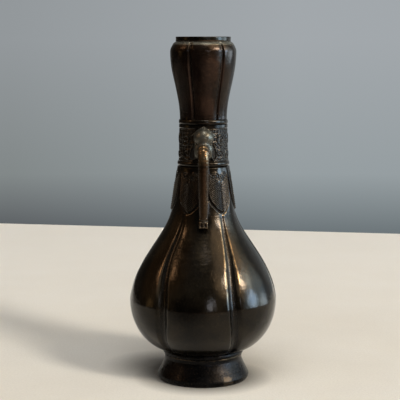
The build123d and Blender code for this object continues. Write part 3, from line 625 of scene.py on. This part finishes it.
def make_foot(material):
    """The flared foot, with its rounded edge, the ledge inside and the socket on top."""
    edge_radius = corner("foot_ring", 1).x
    rest = edge_radius - FOOT_EDGE_INSET
    profile = arc_points((rest, FOOT_EDGE_HEIGHT), (FOOT_EDGE_INSET, FOOT_EDGE_HEIGHT), -90, 0, 14)
    for share in np.linspace(0, 1, 40)[1:]:
        turn = math.pi / 2 * share
        inward = (1 - FOOT_FLARE_BOW) * (1 - math.cos(turn)) + FOOT_FLARE_BOW * math.sin(turn)
        radius = edge_radius + (FOOT_WAIST_RADIUS - edge_radius) * inward
        profile.append((radius, FOOT_EDGE_HEIGHT + (FOOT_WAIST_HEIGHT - FOOT_EDGE_HEIGHT) * share))
    profile += [
        (FOOT_WAIST_RADIUS + 0.25, FOOT_TOP - 1.2),
        (FOOT_TOP_RADIUS, FOOT_TOP - 0.3),
        (FOOT_TOP_RADIUS - 0.2, FOOT_TOP),
        (FOOT_SOCKET_RADIUS, FOOT_TOP), (FOOT_SOCKET_RADIUS, LEDGE_TOP),
        (LEDGE_RADIUS, LEDGE_TOP), (LEDGE_RADIUS, LEDGE_BOTTOM),
        (FOOT_SOCKET_RADIUS, LEDGE_BOTTOM),
        (rest - FOOT_REST_WIDTH - FOOT_REST_BEVEL, FOOT_REST_BEVEL),
        (rest - FOOT_REST_WIDTH, 0),
    ]
    make_turned("flared_foot", "foot_ring", profile, FOOT_COLUMNS, material)


def make_lip(material):
    """The upright lip, its top edge rounded by wear, its skirt in the mouth's rebate."""
    rounding = (LIP_ROUNDING, LIP_ROUNDING)
    shoulder = LIP_TOP - LIP_ROUNDING
    profile = [
        (LIP_SKIRT_RADIUS, LIP_BOTTOM),
        (LIP_SKIRT_RADIUS, MOUTH_TOP),
        (LIP_RADIUS - 0.2, MOUTH_TOP),
        (LIP_RADIUS, MOUTH_TOP + 0.3),
        (LIP_RADIUS - 0.1, MOUTH_TOP + 1.4),
    ]
    profile += arc_points((LIP_RADIUS - LIP_ROUNDING, shoulder), rounding, 0, 90, 7)
    profile += arc_points((LIP_BORE_RADIUS + LIP_ROUNDING, shoulder), rounding, 90, 180, 7)
    profile.append((LIP_BORE_RADIUS, LIP_BOTTOM))
    # Bloom and a painted sheen on the lip's right side
    make_turned("upright_lip", "lip_ring", profile, RING_COLUMNS, material, LIP_SHEEN_ANGLES)


def ellipsoid(grid, centre, radii):
    """Distance field of an ellipsoid, near enough close to its surface."""
    scaled = [(axis - middle) / size for axis, middle, size in zip(grid, centre, radii)]
    near = np.sqrt(sum(part**2 for part in scaled))
    steep = np.sqrt(sum((part / size) ** 2 for part, size in zip(scaled, radii)))
    return near * (near - 1) / np.maximum(steep, 1e-6)


def tube(grid, line, sizes):
    """Distance field of a round tube along a line, and the length so far."""
    nearest = np.full(grid[0].shape, 1e9)
    along = np.zeros(grid[0].shape)
    so_far = 0.0
    for start, end, first, last in zip(line[:-1], line[1:], sizes[:-1], sizes[1:]):
        run = [e - s for s, e in zip(start, end)]
        length = math.sqrt(sum(part**2 for part in run))
        share = sum((axis - s) * part for axis, s, part in zip(grid, start, run)) / length**2
        share = np.clip(share, 0, 1)
        gap = np.sqrt(sum((axis - s - share * part) ** 2 for axis, s, part in zip(grid, start, run)))
        gap = gap - first - (last - first) * share
        along = np.where(gap < nearest, so_far + share * length, along)
        nearest = np.minimum(nearest, gap)
        so_far += length
    return nearest, along


def block(grid, centre, half, rounding):
    """Distance field of a box with rounded edges."""
    gaps = [np.abs(axis - middle) - size + rounding for axis, middle, size in zip(grid, centre, half)]
    outside = np.sqrt(sum(np.maximum(gap, 0) ** 2 for gap in gaps))
    return outside + np.minimum(np.maximum(np.maximum(gaps[0], gaps[1]), gaps[2]), 0) - rounding


def blend(first, second, reach):
    """Union of two fields with a soft fillet."""
    overlap = np.maximum(reach - np.abs(first - second), 0) / reach
    return np.minimum(first, second) - overlap * overlap * reach / 4


def carve(first, second, reach):
    """The first field with the second taken out, softly."""
    return -blend(-first, second, reach)


def surface_net(field, low, step):
    """Quads on the zero level of a field, one point in each cell that it crosses."""
    cells = tuple(size - 1 for size in field.shape)
    count = np.zeros(np.prod(cells))
    total = np.zeros((len(count), 3))
    corners = []
    for axis in range(3):
        first = np.take(field, np.arange(cells[axis]), axis=axis)
        second = np.take(field, np.arange(1, cells[axis] + 1), axis=axis)
        place = np.argwhere((first < 0) != (second < 0))
        from_first = first[tuple(place.T)]
        point = place.astype(float)
        point[:, axis] += from_first / (from_first - second[tuple(place.T)])
        others = [other for other in range(3) if other != axis]
        around = []
        for back in ((0, 0), (1, 0), (1, 1), (0, 1)):
            cell = place.copy()
            cell[:, others[0]] -= back[0]
            cell[:, others[1]] -= back[1]
            flat = np.ravel_multi_index(tuple(cell.T), cells)
            around.append(flat)
            count += np.bincount(flat, minlength=len(count))
            for part in range(3):
                total[:, part] += np.bincount(flat, weights=point[:, part], minlength=len(count))
        faces = np.stack(around, axis=-1)
        turned = (from_first >= 0) != (axis == 1)
        faces[turned] = faces[turned][:, ::-1]
        corners.append(faces)
    used = count > 0
    number = np.cumsum(used) - 1
    vertices = total[used] / count[used][:, None] * step + np.array(low)
    return vertices, number[np.concatenate(corners)]


def ear_field(grid, side):
    """A hanging ear on the neck: pointed above, round below, with a raised rim round its hollow."""
    turn = np.degrees(np.arctan2(side * grid[0], -grid[1]))
    across = np.abs(np.radians(turn - EAR_ANGLE) * HEAD_SEAT)
    share = np.clip((EAR_TOP - grid[2]) / EAR_LENGTH, 0, 1)
    foot = np.clip((share - 0.62) / 0.38, 0, 1)
    inside = EAR_HALF_WIDTH * (1 - (1 - share) ** 2.2) * np.sqrt(1 - foot**2) - across
    rise = 3.4 * smooth(inside, -0.4, 0.6) - 1.5 - 1.0 * smooth(inside, 0.7, 1.4)
    return (np.hypot(grid[0], grid[1]) - HEAD_SEAT - rise) * 0.8


def on_head(across, out, up):
    """A place on the front head: across it, out from the neck and up from its middle."""
    return (across, -HEAD_SEAT - out, HEAD_HEIGHT + up)


def head_field(grid):
    """An elephant's head: brow under an arched hood, cheeks, muzzle, eyes and ears."""
    brow = ellipsoid(grid, on_head(0.3, 1.2, 0.2), (6.9, 7.6, 6.3))
    hood_line = []
    for share in np.linspace(-1, 1, 27):
        across = HOOD_HALF_WIDTH * share
        rise = HOOD_RISE - HOOD_DROP * abs(share) ** 1.3
        hood_line.append((across, -math.sqrt((HEAD_SEAT + 0.6) ** 2 - across**2), HEAD_HEIGHT + rise))
    hood = tube(grid, hood_line, [HOOD_RADIUS] * len(hood_line))[0]
    plate = ellipsoid(grid, on_head(0, -1.6, -0.6), (7.0, 2.6, 6.8))
    muzzle_line = [(0, -HEAD_SEAT - 1.5, TRUNK_HEIGHT + 2.0), (0, -TRUNK_REACH + 6.0, TRUNK_HEIGHT + 0.2)]
    muzzle = tube(grid, muzzle_line, [4.8, 4.0])[0]
    head = blend(blend(brow, muzzle, 2.6), blend(plate, hood, 0.6), 0.9)
    for side in (-1, 1):
        cheek = ellipsoid(grid, on_head(side * 3.9, 2.2, -8.4), (2.6, 4.2, 6.0))
        head = blend(head, cheek, 1.4)
        socket = ellipsoid(grid, on_head(side * 5.7, 5.0, -3.9), (1.4, 1.4, 0.8))
        eye = ellipsoid(grid, on_head(side * 5.2, 4.5, -3.9), (0.9, 1.0, 0.5))
        head = blend(carve(head, socket, 0.9), eye, 0.4)
        head = blend(head, ear_field(grid, side), 0.5)
    saddle = HEAD_SEAT + 0.1 - np.hypot(grid[0], grid[1])
    return np.maximum(head, saddle)


def trunk_line():
    """Centre line of the trunk: out of the head, round the bend and down to the shoulder."""
    start = TRUNK_REACH - TRUNK_BEND
    end_reach = float(belly_radius(TRUNK_END_HEIGHT - BODY_BOTTOM)) + TRUNK_END_RADIUS + 0.3
    line = [(0, -start + TRUNK_ROOT, TRUNK_HEIGHT)]
    for turn in np.radians(np.linspace(0, 90, 10)):
        reach = start + TRUNK_BEND * math.sin(turn)
        line.append((0, -reach, TRUNK_HEIGHT - TRUNK_BEND * (1 - math.cos(turn))))
    fall = TRUNK_HEIGHT - TRUNK_BEND - TRUNK_END_HEIGHT
    for share in np.linspace(0, 1, 16)[1:]:
        lean = (TRUNK_REACH - end_reach) * share**2
        line.append((0, -TRUNK_REACH + lean, TRUNK_HEIGHT - TRUNK_BEND - fall * share))
    return line


def trunk_field(grid):
    """The trunk: a tapering loop with folds at its root and a squared tip on the shoulder."""
    line = trunk_line()
    share = np.linspace(0, 1, len(line))
    taper = np.clip((share - 0.4) / 0.6, 0, 1)
    sizes = TRUNK_TOP_RADIUS + (TRUNK_END_RADIUS - TRUNK_TOP_RADIUS) * taper
    trunk, along = tube(grid, line, list(sizes))
    folds = 0.35 * ridge(along - 3.0, 1.5) - 0.2 * ridge(along - 4.6, 0.7) + 0.5 * ridge(along - 6.6, 2.0)
    wrinkles = 0.02 * np.cos(2 * math.pi * along / 2.9) * smooth(along, 8, 10) * smooth(-along, -26, -20)
    trunk = trunk - folds + wrinkles
    seat = float(belly_radius(TIP_HEIGHT - BODY_BOTTOM))
    front = seat + TIP_PROUD
    collar = block(grid, (0, -front + 3.0, TIP_HEIGHT + 4.1), (TIP_WIDTH / 2 - 0.3, 2.7, 0.6), 0.5)
    tip = block(grid, (0, -front + 3.4, TIP_HEIGHT), (TIP_WIDTH / 2, 3.4, TIP_THICKNESS / 2), 0.8)
    trunk = blend(blend(trunk, collar, 0.7), tip, 0.9)
    for side in (-1, 1):
        nostril = block(grid, (side * 1.25, -front, TIP_HEIGHT + 0.1), (0.85, 1.0, 1.15), 0.6)
        trunk = carve(trunk, nostril, 0.3)
    body = belly_radius(grid[2] - BODY_BOTTOM) + 0.1 - np.hypot(grid[0], grid[1])
    return np.maximum(trunk, body)


def head_tones(vertices):
    """Grey-green bloom on brow and cheeks, and darker ears."""
    low = smooth(HEAD_HEIGHT - 2.5 - vertices[:, 2], 0, 2)
    ear = low * smooth(np.abs(vertices[:, 0]), 5.6, 6.6)
    return 0.32 * (1 - ear), 0.75 * ear, np.zeros(len(vertices))


def trunk_tones(vertices):
    """Grey-green bloom on the squared tip only, painted shade on the lower trunk, and the upper bend polished
    by hands.
    """
    bloom_and_sheen = 0.25 * smooth(TIP_HEIGHT + 6 - vertices[:, 2], 0, 3)
    polish = 0.8 * smooth(vertices[:, 2], TRUNK_HEIGHT - 14, TRUNK_HEIGHT - 2)
    # Painted shade, darker down the trunk where it turns away from the light
    shade = 0.35 * smooth(TRUNK_HEIGHT - 10 - vertices[:, 2], 0, 10)
    return bloom_and_sheen, shade, polish


def make_handle(part, field, box, material, tones):
    """A cast handle piece from its field, for the front and, turned round, for the back."""
    axes = [np.arange(low, high + GRID_STEP, GRID_STEP) for low, high in zip(*box)]
    grid = np.meshgrid(*axes, indexing="ij")
    vertices, quads = surface_net(field(grid), box[0], GRID_STEP)
    marks = surface_marks(vertices, quads, 10, 0.10, 0.12)
    marks["bloom_and_sheen"], shade, polish = tones(vertices)
    # The tones' darkening joins the grime mark; on the lower trunk it is painted shade
    marks["grime_and_shade"] = np.maximum(marks["grime_and_shade"], shade) * (1 - 0.7 * polish)
    marks["wear"] = np.maximum(marks["wear"], polish)
    for side, turn in (("front", 1), ("back", -1)):
        turned = vertices * np.array([turn, turn, 1])
        piece = add_mesh(f"{side}_{part}_cast", turned, quads, material, marks, 70)
        dress(piece, f"{side}_{part}")


def plug(socket, value):
    """Set an input to a value, or link it to the output of another node."""
    if isinstance(value, bpy.types.NodeSocket):
        socket.id_data.links.new(value, socket)
    else:
        socket.default_value = value


def fill(node, **inputs):
    """Set or link some inputs of a node."""
    for key, value in inputs.items():
        plug(node.inputs[key.replace("_", " ")], value)


def add_node(kind, **inputs):
    """A shader node with its inputs set or linked, in the tree of its first input."""
    made = next(iter(inputs.values())).id_data.nodes.new(kind)
    fill(made, **inputs)
    return made


def mixed(factor, first, second):
    """A colour between two colours."""
    made = factor.id_data.nodes.new("ShaderNodeMix")
    made.data_type = "RGBA"
    plug(made.inputs[0], factor)
    for place, colour in ((6, first), (7, second)):
        plug(made.inputs[place], (*colour, 1) if isinstance(colour, tuple) else colour)
    return made.outputs[2]


def arithmetic(kind, operation, first, second):
    """The outputs of one step of arithmetic."""
    made = first.id_data.nodes.new(kind)
    made.operation = operation
    plug(made.inputs[0], first)
    plug(made.inputs[1], second)
    return made.outputs


def times(first, second):
    """The product of two values."""
    return arithmetic("ShaderNodeMath", "MULTIPLY", first, second)[0]


def plus(first, second):
    """The sum of two values."""
    return arithmetic("ShaderNodeMath", "ADD", first, second)[0]


def added(first, second):
    """The sum of two colours."""
    return arithmetic("ShaderNodeVectorMath", "ADD", first, second)[0]


def distance_from(place, point):
    """Distance of each place from a point."""
    return arithmetic("ShaderNodeVectorMath", "DISTANCE", place, point)["Value"]


def ranged(value, low, high, first=0.0, last=1.0):
    """A value carried from one range to another, held at its ends."""
    ends = {"From_Min": low, "From_Max": high, "To_Min": first, "To_Max": last}
    return add_node("ShaderNodeMapRange", Value=value, **ends).outputs[0]


def noise(place, scale, detail=5.0, roughness=0.55):
    """Soft noise over the object."""
    shape = {"Scale": scale, "Detail": detail, "Roughness": roughness}
    return add_node("ShaderNodeTexNoise", Vector=place, **shape).outputs[0]


def stretched(place, scale):
    """Object coordinates stretched along some axes."""
    return add_node("ShaderNodeMapping", Vector=place, Scale=scale).outputs[0]


def mark(place, name):
    """A value painted on the points of a mesh."""
    made = place.id_data.nodes.new("ShaderNodeAttribute")
    made.attribute_name = name
    return made.outputs[2]


def new_material(name):
    """A material, its surface shader and the coordinates of its object."""
    material = bpy.data.materials.new(name)
    material.use_nodes = True
    tree = material.node_tree
    place = tree.nodes.new("ShaderNodeTexCoord").outputs["Object"]
    return material, tree.nodes["Principled BSDF"], place


def roughen(shader, height, strength, distance):
    """Fine unevenness of a surface, too small for its mesh."""
    bump = add_node("ShaderNodeBump", Height=height, Strength=strength, Distance=distance)
    fill(shader, Normal=bump.outputs[0])


# Colours of the metal
GOLD = (0.32, 0.24, 0.15)
TRUNK_GOLD = (0.46, 0.31, 0.16)
# Grey-green of bloom, also the colour of the painted sheen on the lip
BLOOM_AND_SHEEN_COLOUR = (0.135, 0.129, 0.10)
# Near-black of grime in hollows, also the colour of painted shade on the lower trunk
GRIME_AND_SHADE_COLOUR = (0.005, 0.0042, 0.0036)
PATCH_COLOUR = (0.055, 0.042, 0.030)

# A bright rubbed patch on the foot's edge, right of the front
PATCH_PLACE = (16.8, -26.6, 3.4)
PATCH_SIZE = 4.4


def bronze(name, dark, brown, gold, gloss, wear, shine=0.62, turned_lines=0.0, patched=False):
    """Patinated bronze: mottled brown-black, black in the hollows and under painted shade, grey-green under
    bloom and painted sheen, rubbed golden on the edges.
    """
    material, shader, place = new_material(name)
    cloud = ranged(noise(place, 55, 7, 0.62), 0.38, 0.64)
    fleck = ranged(noise(place, 1300, 2), 0.60, 0.74)
    rubbed = ranged(noise(place, 150, 4), 0.34, 0.62)
    colour = mixed(cloud, dark, brown)
    colour = mixed(times(fleck, 0.14), colour, gold)
    bloom_patch = ranged(noise(place, 260, 6), 0.30, 0.62, 0.45, 1.0)
    # The bloom mark also carries the painted sheen on the lip
    bloom_and_sheen = times(mark(place, "bloom_and_sheen"), bloom_patch)
    colour = mixed(bloom_and_sheen, colour, BLOOM_AND_SHEEN_COLOUR)
    # The grime mark also carries the painted shade on the lower trunk
    grime_and_shade = mark(place, "grime_and_shade")
    colour = mixed(times(grime_and_shade, 0.85), colour, GRIME_AND_SHADE_COLOUR)
    worn = times(ranged(mark(place, "wear"), 0.18, 0.9), rubbed)
    worn = times(worn, wear)
    colour = mixed(worn, colour, gold)
    rough = ranged(noise(place, 160, 8, 0.7), 0.3, 0.7, gloss - 0.07, gloss + 0.12)
    rough = plus(rough, times(grime_and_shade, 0.28))
    rough = plus(rough, times(bloom_and_sheen, 0.2))
    metal = ranged(bloom_and_sheen, 0, 1, 0.70, 0.45)
    metal = plus(metal, times(worn, 0.3))
    if patched:
        away = distance_from(place, Vector(PATCH_PLACE) * MM)
        ragged = ranged(noise(place, 420, 5), 0.3, 0.7, -0.5, 0.5)
        reach = plus(away, times(ragged, PATCH_SIZE * MM))
        patch = ranged(reach, PATCH_SIZE * MM, PATCH_SIZE * MM * 0.62)
        colour = mixed(times(patch, 0.8), colour, PATCH_COLOUR)
        rough = plus(rough, times(patch, 0.12))
    fill(shader, Base_Color=colour, Roughness=rough, Metallic=metal, Specular_IOR_Level=shine)
    grain = times(noise(place, 1500, 3), 0.25)
    wave = plus(grain, noise(place, 220, 4))
    wave = plus(wave, times(noise(place, 480, 2), 0.5))
    if turned_lines:
        lines = noise(stretched(place, (20, 20, 1600)), 1.0, 3)
        wave = plus(wave, times(lines, turned_lines))
    roughen(shader, wave, 0.22, 0.0006)
    return material


def plain_metal(name, colour, shade, gloss):
    """Unpatinated metal of the hidden fittings, dulled in patches."""
    material, shader, place = new_material(name)
    cloud = ranged(noise(place, 120, 6), 0.35, 0.65)
    rough = ranged(cloud, 0, 1, gloss - 0.08, gloss + 0.15)
    fill(shader, Base_Color=mixed(cloud, colour, shade), Roughness=rough, Metallic=1.0)
    roughen(shader, noise(place, 900, 4), 0.2, 0.0004)
    return material


def refinish(material, *nodes):
    """Give solids that stay in view a better material."""
    for node in nodes:
        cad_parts[node].data.materials.clear()
        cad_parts[node].data.materials.append(material)


# Floor: a pale cloth that ends a table's depth behind the vase
FLOOR_DEPTH = 715.0
FLOOR_SKEW = math.radians(-9.9)
FLOOR_SIDE = 1600.0
FLOOR_NEAR = -350.0
FLOOR_EDGE = 10.0
FLOOR_HANG = -60.0
# Painted shade on the cloth round the foot, deepest where the foot touches
FOOT_CENTRE = (0, -1, 0)
FOOT_TOUCH = 32.0
FOOT_SHADE_REACH = 50.0
# Painted shadow on the cloth behind the foot, to the left
SHADOW_CENTRE = (-32, 36, 0)
SHADOW_INNER = 12
SHADOW_OUTER = 42

# Colours of the cloth
CLOTH = (0.74, 0.675, 0.565)
CLOTH_PALE = (0.80, 0.745, 0.645)
CLOTH_BLUSH = (0.78, 0.71, 0.585)
CLOTH_THREAD = (0.56, 0.50, 0.42)
# Painted light: the cloth paler further back
CLOTH_BEYOND_LIT = (0.87, 0.82, 0.725)
CLOTH_SHADE = (0.06, 0.052, 0.045)
# Painted shade on the cloth: far to the left, near to the left and along the near edge
CLOTH_FAR_LEFT_SHADE = (0.22, 0.19, 0.155)
CLOTH_NEAR_LEFT_SHADE = (0.12, 0.102, 0.082)
NEAR_EDGE_SHADE = (0.48, 0.36, 0.26)
NEAR_EDGE_LEFT_SHADE = (0.06, 0.045, 0.035)


def cloth_colour(place):
    """Blotched, woven cloth, with light and shade painted into its colour: paler behind as painted light, a
    painted shade round the foot, a painted shadow behind it at the left, and painted shade at the left and
    towards the camera.

    Places on it are metres to the right and back from the vase's axis.
    """
    split = add_node("ShaderNodeSeparateXYZ", Vector=place)
    right = split.outputs[0]
    back = split.outputs[1]
    cloth = mixed(ranged(noise(place, 9, 5), 0.3, 0.7), CLOTH, CLOTH_PALE)
    blush = ranged(noise(place, 17, 4), 0.42, 0.68, 0.0, 0.4)
    cloth = mixed(blush, cloth, CLOTH_BLUSH)
    thread = ranged(noise(place, 620, 3), 0.38, 0.66, 0.0, 0.2)
    cloth = mixed(thread, cloth, CLOTH_THREAD)
    # Painted light, paler further back
    cloth = mixed(ranged(back, 0.05, 0.5, 0.0, 0.6), cloth, CLOTH_BEYOND_LIT)
    # Painted shade round the foot
    from_foot = distance_from(place, Vector(FOOT_CENTRE) * MM)
    foot_shade = ranged(from_foot, FOOT_SHADE_REACH * MM, FOOT_TOUCH * MM, 0.0, 0.62)
    cloth = mixed(foot_shade, cloth, CLOTH_SHADE)
    # Painted shadow of the vase behind the foot, to the left; the cloth is flat there
    from_shadow = distance_from(place, Vector(SHADOW_CENTRE) * MM)
    hollow = ranged(from_shadow, SHADOW_OUTER * MM, SHADOW_INNER * MM, 0.0, 0.55)
    cloth = mixed(hollow, cloth, CLOTH_SHADE)
    # Painted shade far to the left
    cloth = mixed(ranged(right, -0.30, -0.60), cloth, CLOTH_FAR_LEFT_SHADE)
    # Painted shade on the cloth near the camera at the left
    ahead = ranged(back, -0.06, -0.16)
    aside = ranged(right, 0.12, -0.06, 0.0, 0.8)
    cloth = mixed(times(ahead, aside), cloth, CLOTH_NEAR_LEFT_SHADE)
    # Painted shade along the near edge, brown at the right and dark at the left
    edge = mixed(aside, NEAR_EDGE_SHADE, NEAR_EDGE_LEFT_SHADE)
    return mixed(ranged(back, -0.14, -0.34), cloth, edge)


def pale_cloth():
    """The cloth's material, with its weave and the light and shade painted into its colour."""
    material, shader, place = new_material("pale_cloth")
    fill(shader, Base_Color=cloth_colour(place), Roughness=0.9)
    roughen(shader, noise(stretched(place, (900, 400, 400)), 1.0, 2), 0.5, 0.0004)
    return material


def make_floor():
    """The pale cloth, straight at its far side, where it turns down."""
    profile = [(FLOOR_NEAR, 0.0)]
    profile += arc_points((FLOOR_DEPTH - FLOOR_EDGE, -FLOOR_EDGE), (FLOOR_EDGE, FLOOR_EDGE), 90, 0, 8)
    profile.append((FLOOR_DEPTH, FLOOR_HANG))
    points = []
    for side in (-FLOOR_SIDE, FLOOR_SIDE):
        for depth, height in profile:
            skew = side * math.tan(FLOOR_SKEW) if depth > 0 else 0.0
            points.append((side, depth + skew, height))
    count = len(profile)
    quads = [(k, count + k, count + k + 1, k + 1) for k in range(count - 1)]
    floor = add_mesh("floor", np.array(points), np.array(quads), pale_cloth(), {}, 60)


# Glows in the room: colour, degrees from the front and above the horizon, inner and outer angle
ROOM_GLOWS = (
    # Window on the right
    ((9.0, 12.8, 17.6), 75, 9, 3, 12),
    ((1.8, 2.35, 2.65), 85, 8, 10, 34),
    ((3.0, 3.7, 4.4), 103, -1, 4, 13),
    ((3.7, 4.6, 4.8), 78, 28, 3, 10),
    # Bright patch at the right front
    ((46, 39, 31.5), 61, 32, 2, 8),
    ((3.0, 2.2, 1.4), 62, 38, 8, 32),
    # Ceiling
    ((0.85, 0.67, 0.43), 20, 75, 14, 27),
    ((10.0, 9.6, 9.0), 35, 80, 5, 13),
    ((7.6, 6.7, 6.1), 12, 67, 2, 7),
    # Warm lamp on the left
    ((7.0, 4.0, 2.1), -77, 37, 2, 8),
    ((0.19, 0.09, 0.025), -85, 38, 15, 45),
    ((1.1, 0.68, 0.27), -81, 2, 2, 7),
    # Small light near the camera
    ((5.4, 5.8, 6.8), 18, 11, 2, 6),
    # Faint glows on the right
    ((0.8, 0.76, 0.58), 92, 30, 6, 22),
    ((0.17, 0.13, 0.09), 35, 5, 10, 40),
)
ROOM_DARK = (0.027, 0.022, 0.018)
BACK_LEFT = (0.045, 0.037, 0.028)
BACK_RIGHT = (0.36, 0.38, 0.38)
GROUND_LEFT = (0.10, 0.06, 0.045)
GROUND_RIGHT = (1.6, 1.05, 0.75)

# Wall behind: tones at the table, above it and higher up
WALL_LEFT = ((0.095, 0.104, 0.112), (0.223, 0.246, 0.248), (0.292, 0.314, 0.328))
WALL_RIGHT = ((0.155, 0.183, 0.195), (0.305, 0.342, 0.358), (0.361, 0.388, 0.409))

# Daylight on the cloth
OVERHEAD = ((4.3, 4.4, 4.6), -5, 60, 5, 30)
DAY_LOW = (0.03, 0.03, 0.03)
DAY_HIGH = (0.06, 0.06, 0.06)

# Window light, in degrees, metres and watts
WINDOW_FACING = (43, 32)
WINDOW_DISTANCE = 4.0
WINDOW_LIFT = 0.1
WINDOW_WIDTH = 0.70
WINDOW_HEIGHT = 0.98
WINDOW_POWER = 129
WINDOW_COLOUR = (1.0, 0.97, 0.92)

# Camera, in millimetres and degrees
CAMERA_PLACE = (-2.3, -867.0, 237.3)
CAMERA_DIP = 7.27
CAMERA_LENS = 112.5
CAMERA_SENSOR = 36


def facing(azimuth, elevation):
    """Direction to a place round the vase: degrees from the front and above the horizon."""
    turn = math.radians(azimuth)
    lift = math.radians(elevation)
    return (math.sin(turn) * math.cos(lift), -math.cos(turn) * math.cos(lift), math.sin(lift))


def glow(direction, colour, azimuth, elevation, inner, outer):
    """A soft round light in the surroundings, between two angles from its middle."""
    toward = facing(azimuth, elevation)
    near = arithmetic("ShaderNodeVectorMath", "DOT_PRODUCT", direction, toward)["Value"]
    ends = {"From_Min": math.cos(math.radians(outer)), "From_Max": math.cos(math.radians(inner))}
    made = add_node("ShaderNodeMapRange", Value=near, **ends)
    made.interpolation_type = "SMOOTHSTEP"
    return mixed(made.outputs[0], (0, 0, 0), colour)


def room_glow(direction):
    """The dim room that the bronze reflects, with its glows above and a lit ground on the right."""
    split = add_node("ShaderNodeSeparateXYZ", Vector=direction)
    back = mixed(ranged(split.outputs[0], -0.5, 0.6), BACK_LEFT, BACK_RIGHT)
    room = mixed(ranged(split.outputs[1], -0.3, 0.6), ROOM_DARK, back)
    for light in ROOM_GLOWS:
        room = added(room, glow(direction, *light))
    ground = mixed(ranged(split.outputs[0], -0.35, 0.85), GROUND_LEFT, GROUND_RIGHT)
    ground = mixed(ranged(split.outputs[1], -0.45, 0.0), ground, back)
    return mixed(ranged(split.outputs[2], -0.09, -0.20), room, ground)


def wall_tone(rise, low, middle, high):
    """Tone of the wall up a line of sight, darker towards the table."""
    upper = mixed(ranged(rise, -0.105, 0.0), middle, high)
    return mixed(ranged(rise, -0.150, -0.105), low, upper)


def make_surroundings():
    """A plain grey wall behind, daylight from above the front, and the room that the bronze reflects."""
    world = bpy.data.worlds.new("studio")
    bpy.context.scene.world = world
    world.use_nodes = True
    tree = world.node_tree
    tree.nodes.clear()
    direction = tree.nodes.new("ShaderNodeTexCoord").outputs["Generated"]
    split = add_node("ShaderNodeSeparateXYZ", Vector=direction)
    left = wall_tone(split.outputs[2], *WALL_LEFT)
    right = wall_tone(split.outputs[2], *WALL_RIGHT)
    wall = mixed(ranged(split.outputs[0], -0.15, 0.07), left, right)
    day = mixed(ranged(split.outputs[2], 0.0, 0.8), DAY_LOW, DAY_HIGH)
    day = added(glow(direction, *OVERHEAD), day)
    path = tree.nodes.new("ShaderNodeLightPath")
    lit = mixed(path.outputs["Is Glossy Ray"], day, room_glow(direction))
    lit = mixed(path.outputs["Is Camera Ray"], lit, wall)
    background = add_node("ShaderNodeBackground", Color=lit)
    out = tree.nodes.new("ShaderNodeOutputWorld")
    plug(out.inputs[0], background.outputs[0])


def make_window_light():
    """Soft daylight from the right front, which casts the shadow on the cloth."""
    data = bpy.data.lights.new("window", "AREA")
    data.shape = "RECTANGLE"
    data.size = WINDOW_WIDTH
    data.size_y = WINDOW_HEIGHT
    data.energy = WINDOW_POWER
    data.color = WINDOW_COLOUR
    light = bpy.data.objects.new("window", data)
    bpy.context.scene.collection.objects.link(light)
    toward = Vector(facing(*WINDOW_FACING))
    light.location = toward * WINDOW_DISTANCE + Vector((0, 0, WINDOW_LIFT))
    light.rotation_euler = toward.to_track_quat("Z", "Y").to_euler()
    light.visible_camera = False
    light.visible_glossy = False


def make_camera():
    """The camera at the photograph's place, a little below the lip, looking slightly down."""
    data = bpy.data.cameras.new("camera")
    data.lens = CAMERA_LENS
    data.sensor_width = CAMERA_SENSOR
    camera = bpy.data.objects.new("camera", data)
    bpy.context.scene.collection.objects.link(camera)
    camera.location = Vector(CAMERA_PLACE) * MM
    camera.rotation_euler = (math.radians(90 - CAMERA_DIP), 0, 0)
    bpy.context.scene.camera = camera


# Bronzes: dark tone, brown tone, rubbed tone, roughness and share of wear
dark_bronze = bronze("dark_bronze", (0.0034, 0.0027, 0.0019), (0.019, 0.0147, 0.0091), GOLD, 0.10, 0.7)
mouth_bronze = bronze("mouth_bronze", (0.0075, 0.0045, 0.0033), (0.023, 0.0135, 0.0088), GOLD, 0.14, 0.6)
foot_bronze = bronze("foot_bronze", (0.003, 0.003, 0.0034), (0.0068, 0.0066, 0.0072), GOLD, 0.26, 0.3,
                     shine=0.14, turned_lines=1.2, patched=True)
head_bronze = bronze("head_bronze", (0.036, 0.035, 0.028), (0.070, 0.067, 0.053), GOLD, 0.25, 0.25)
trunk_bronze = bronze("trunk_bronze", (0.014, 0.0078, 0.0034), (0.048, 0.026, 0.0095), TRUNK_GOLD, 0.12, 0.45)

make_foot(foot_bronze)
make_bead("foot_bead", "foot_collar", FOOT_SOCKET_RADIUS, foot_bronze)
make_body(dark_bronze)
make_bead("lower_bead", "lower_neck_ring", SLEEVE_SOCKET_RADIUS, dark_bronze)
make_sleeve(dark_bronze)
make_bead("upper_bead", "upper_neck_ring", SLEEVE_SOCKET_RADIUS, dark_bronze)
make_mouth(mouth_bronze)
make_lip(dark_bronze)
make_handle("head", head_field, HEAD_BOX, head_bronze, head_tones)
make_handle("trunk", trunk_field, TRUNK_BOX, trunk_bronze, trunk_tones)
refinish(plain_metal("fitting_bronze", (0.20, 0.13, 0.065), (0.10, 0.07, 0.042), 0.42),
         "base_plate", "head_rivets", "rivet_washers", "trunk_pegs")
refinish(plain_metal("solder", (0.32, 0.32, 0.33), (0.20, 0.20, 0.20), 0.5), "base_solder_seal")
make_floor()
make_surroundings()
make_window_light()
make_camera()
bpy.context.scene.view_settings.view_transform = "Standard"
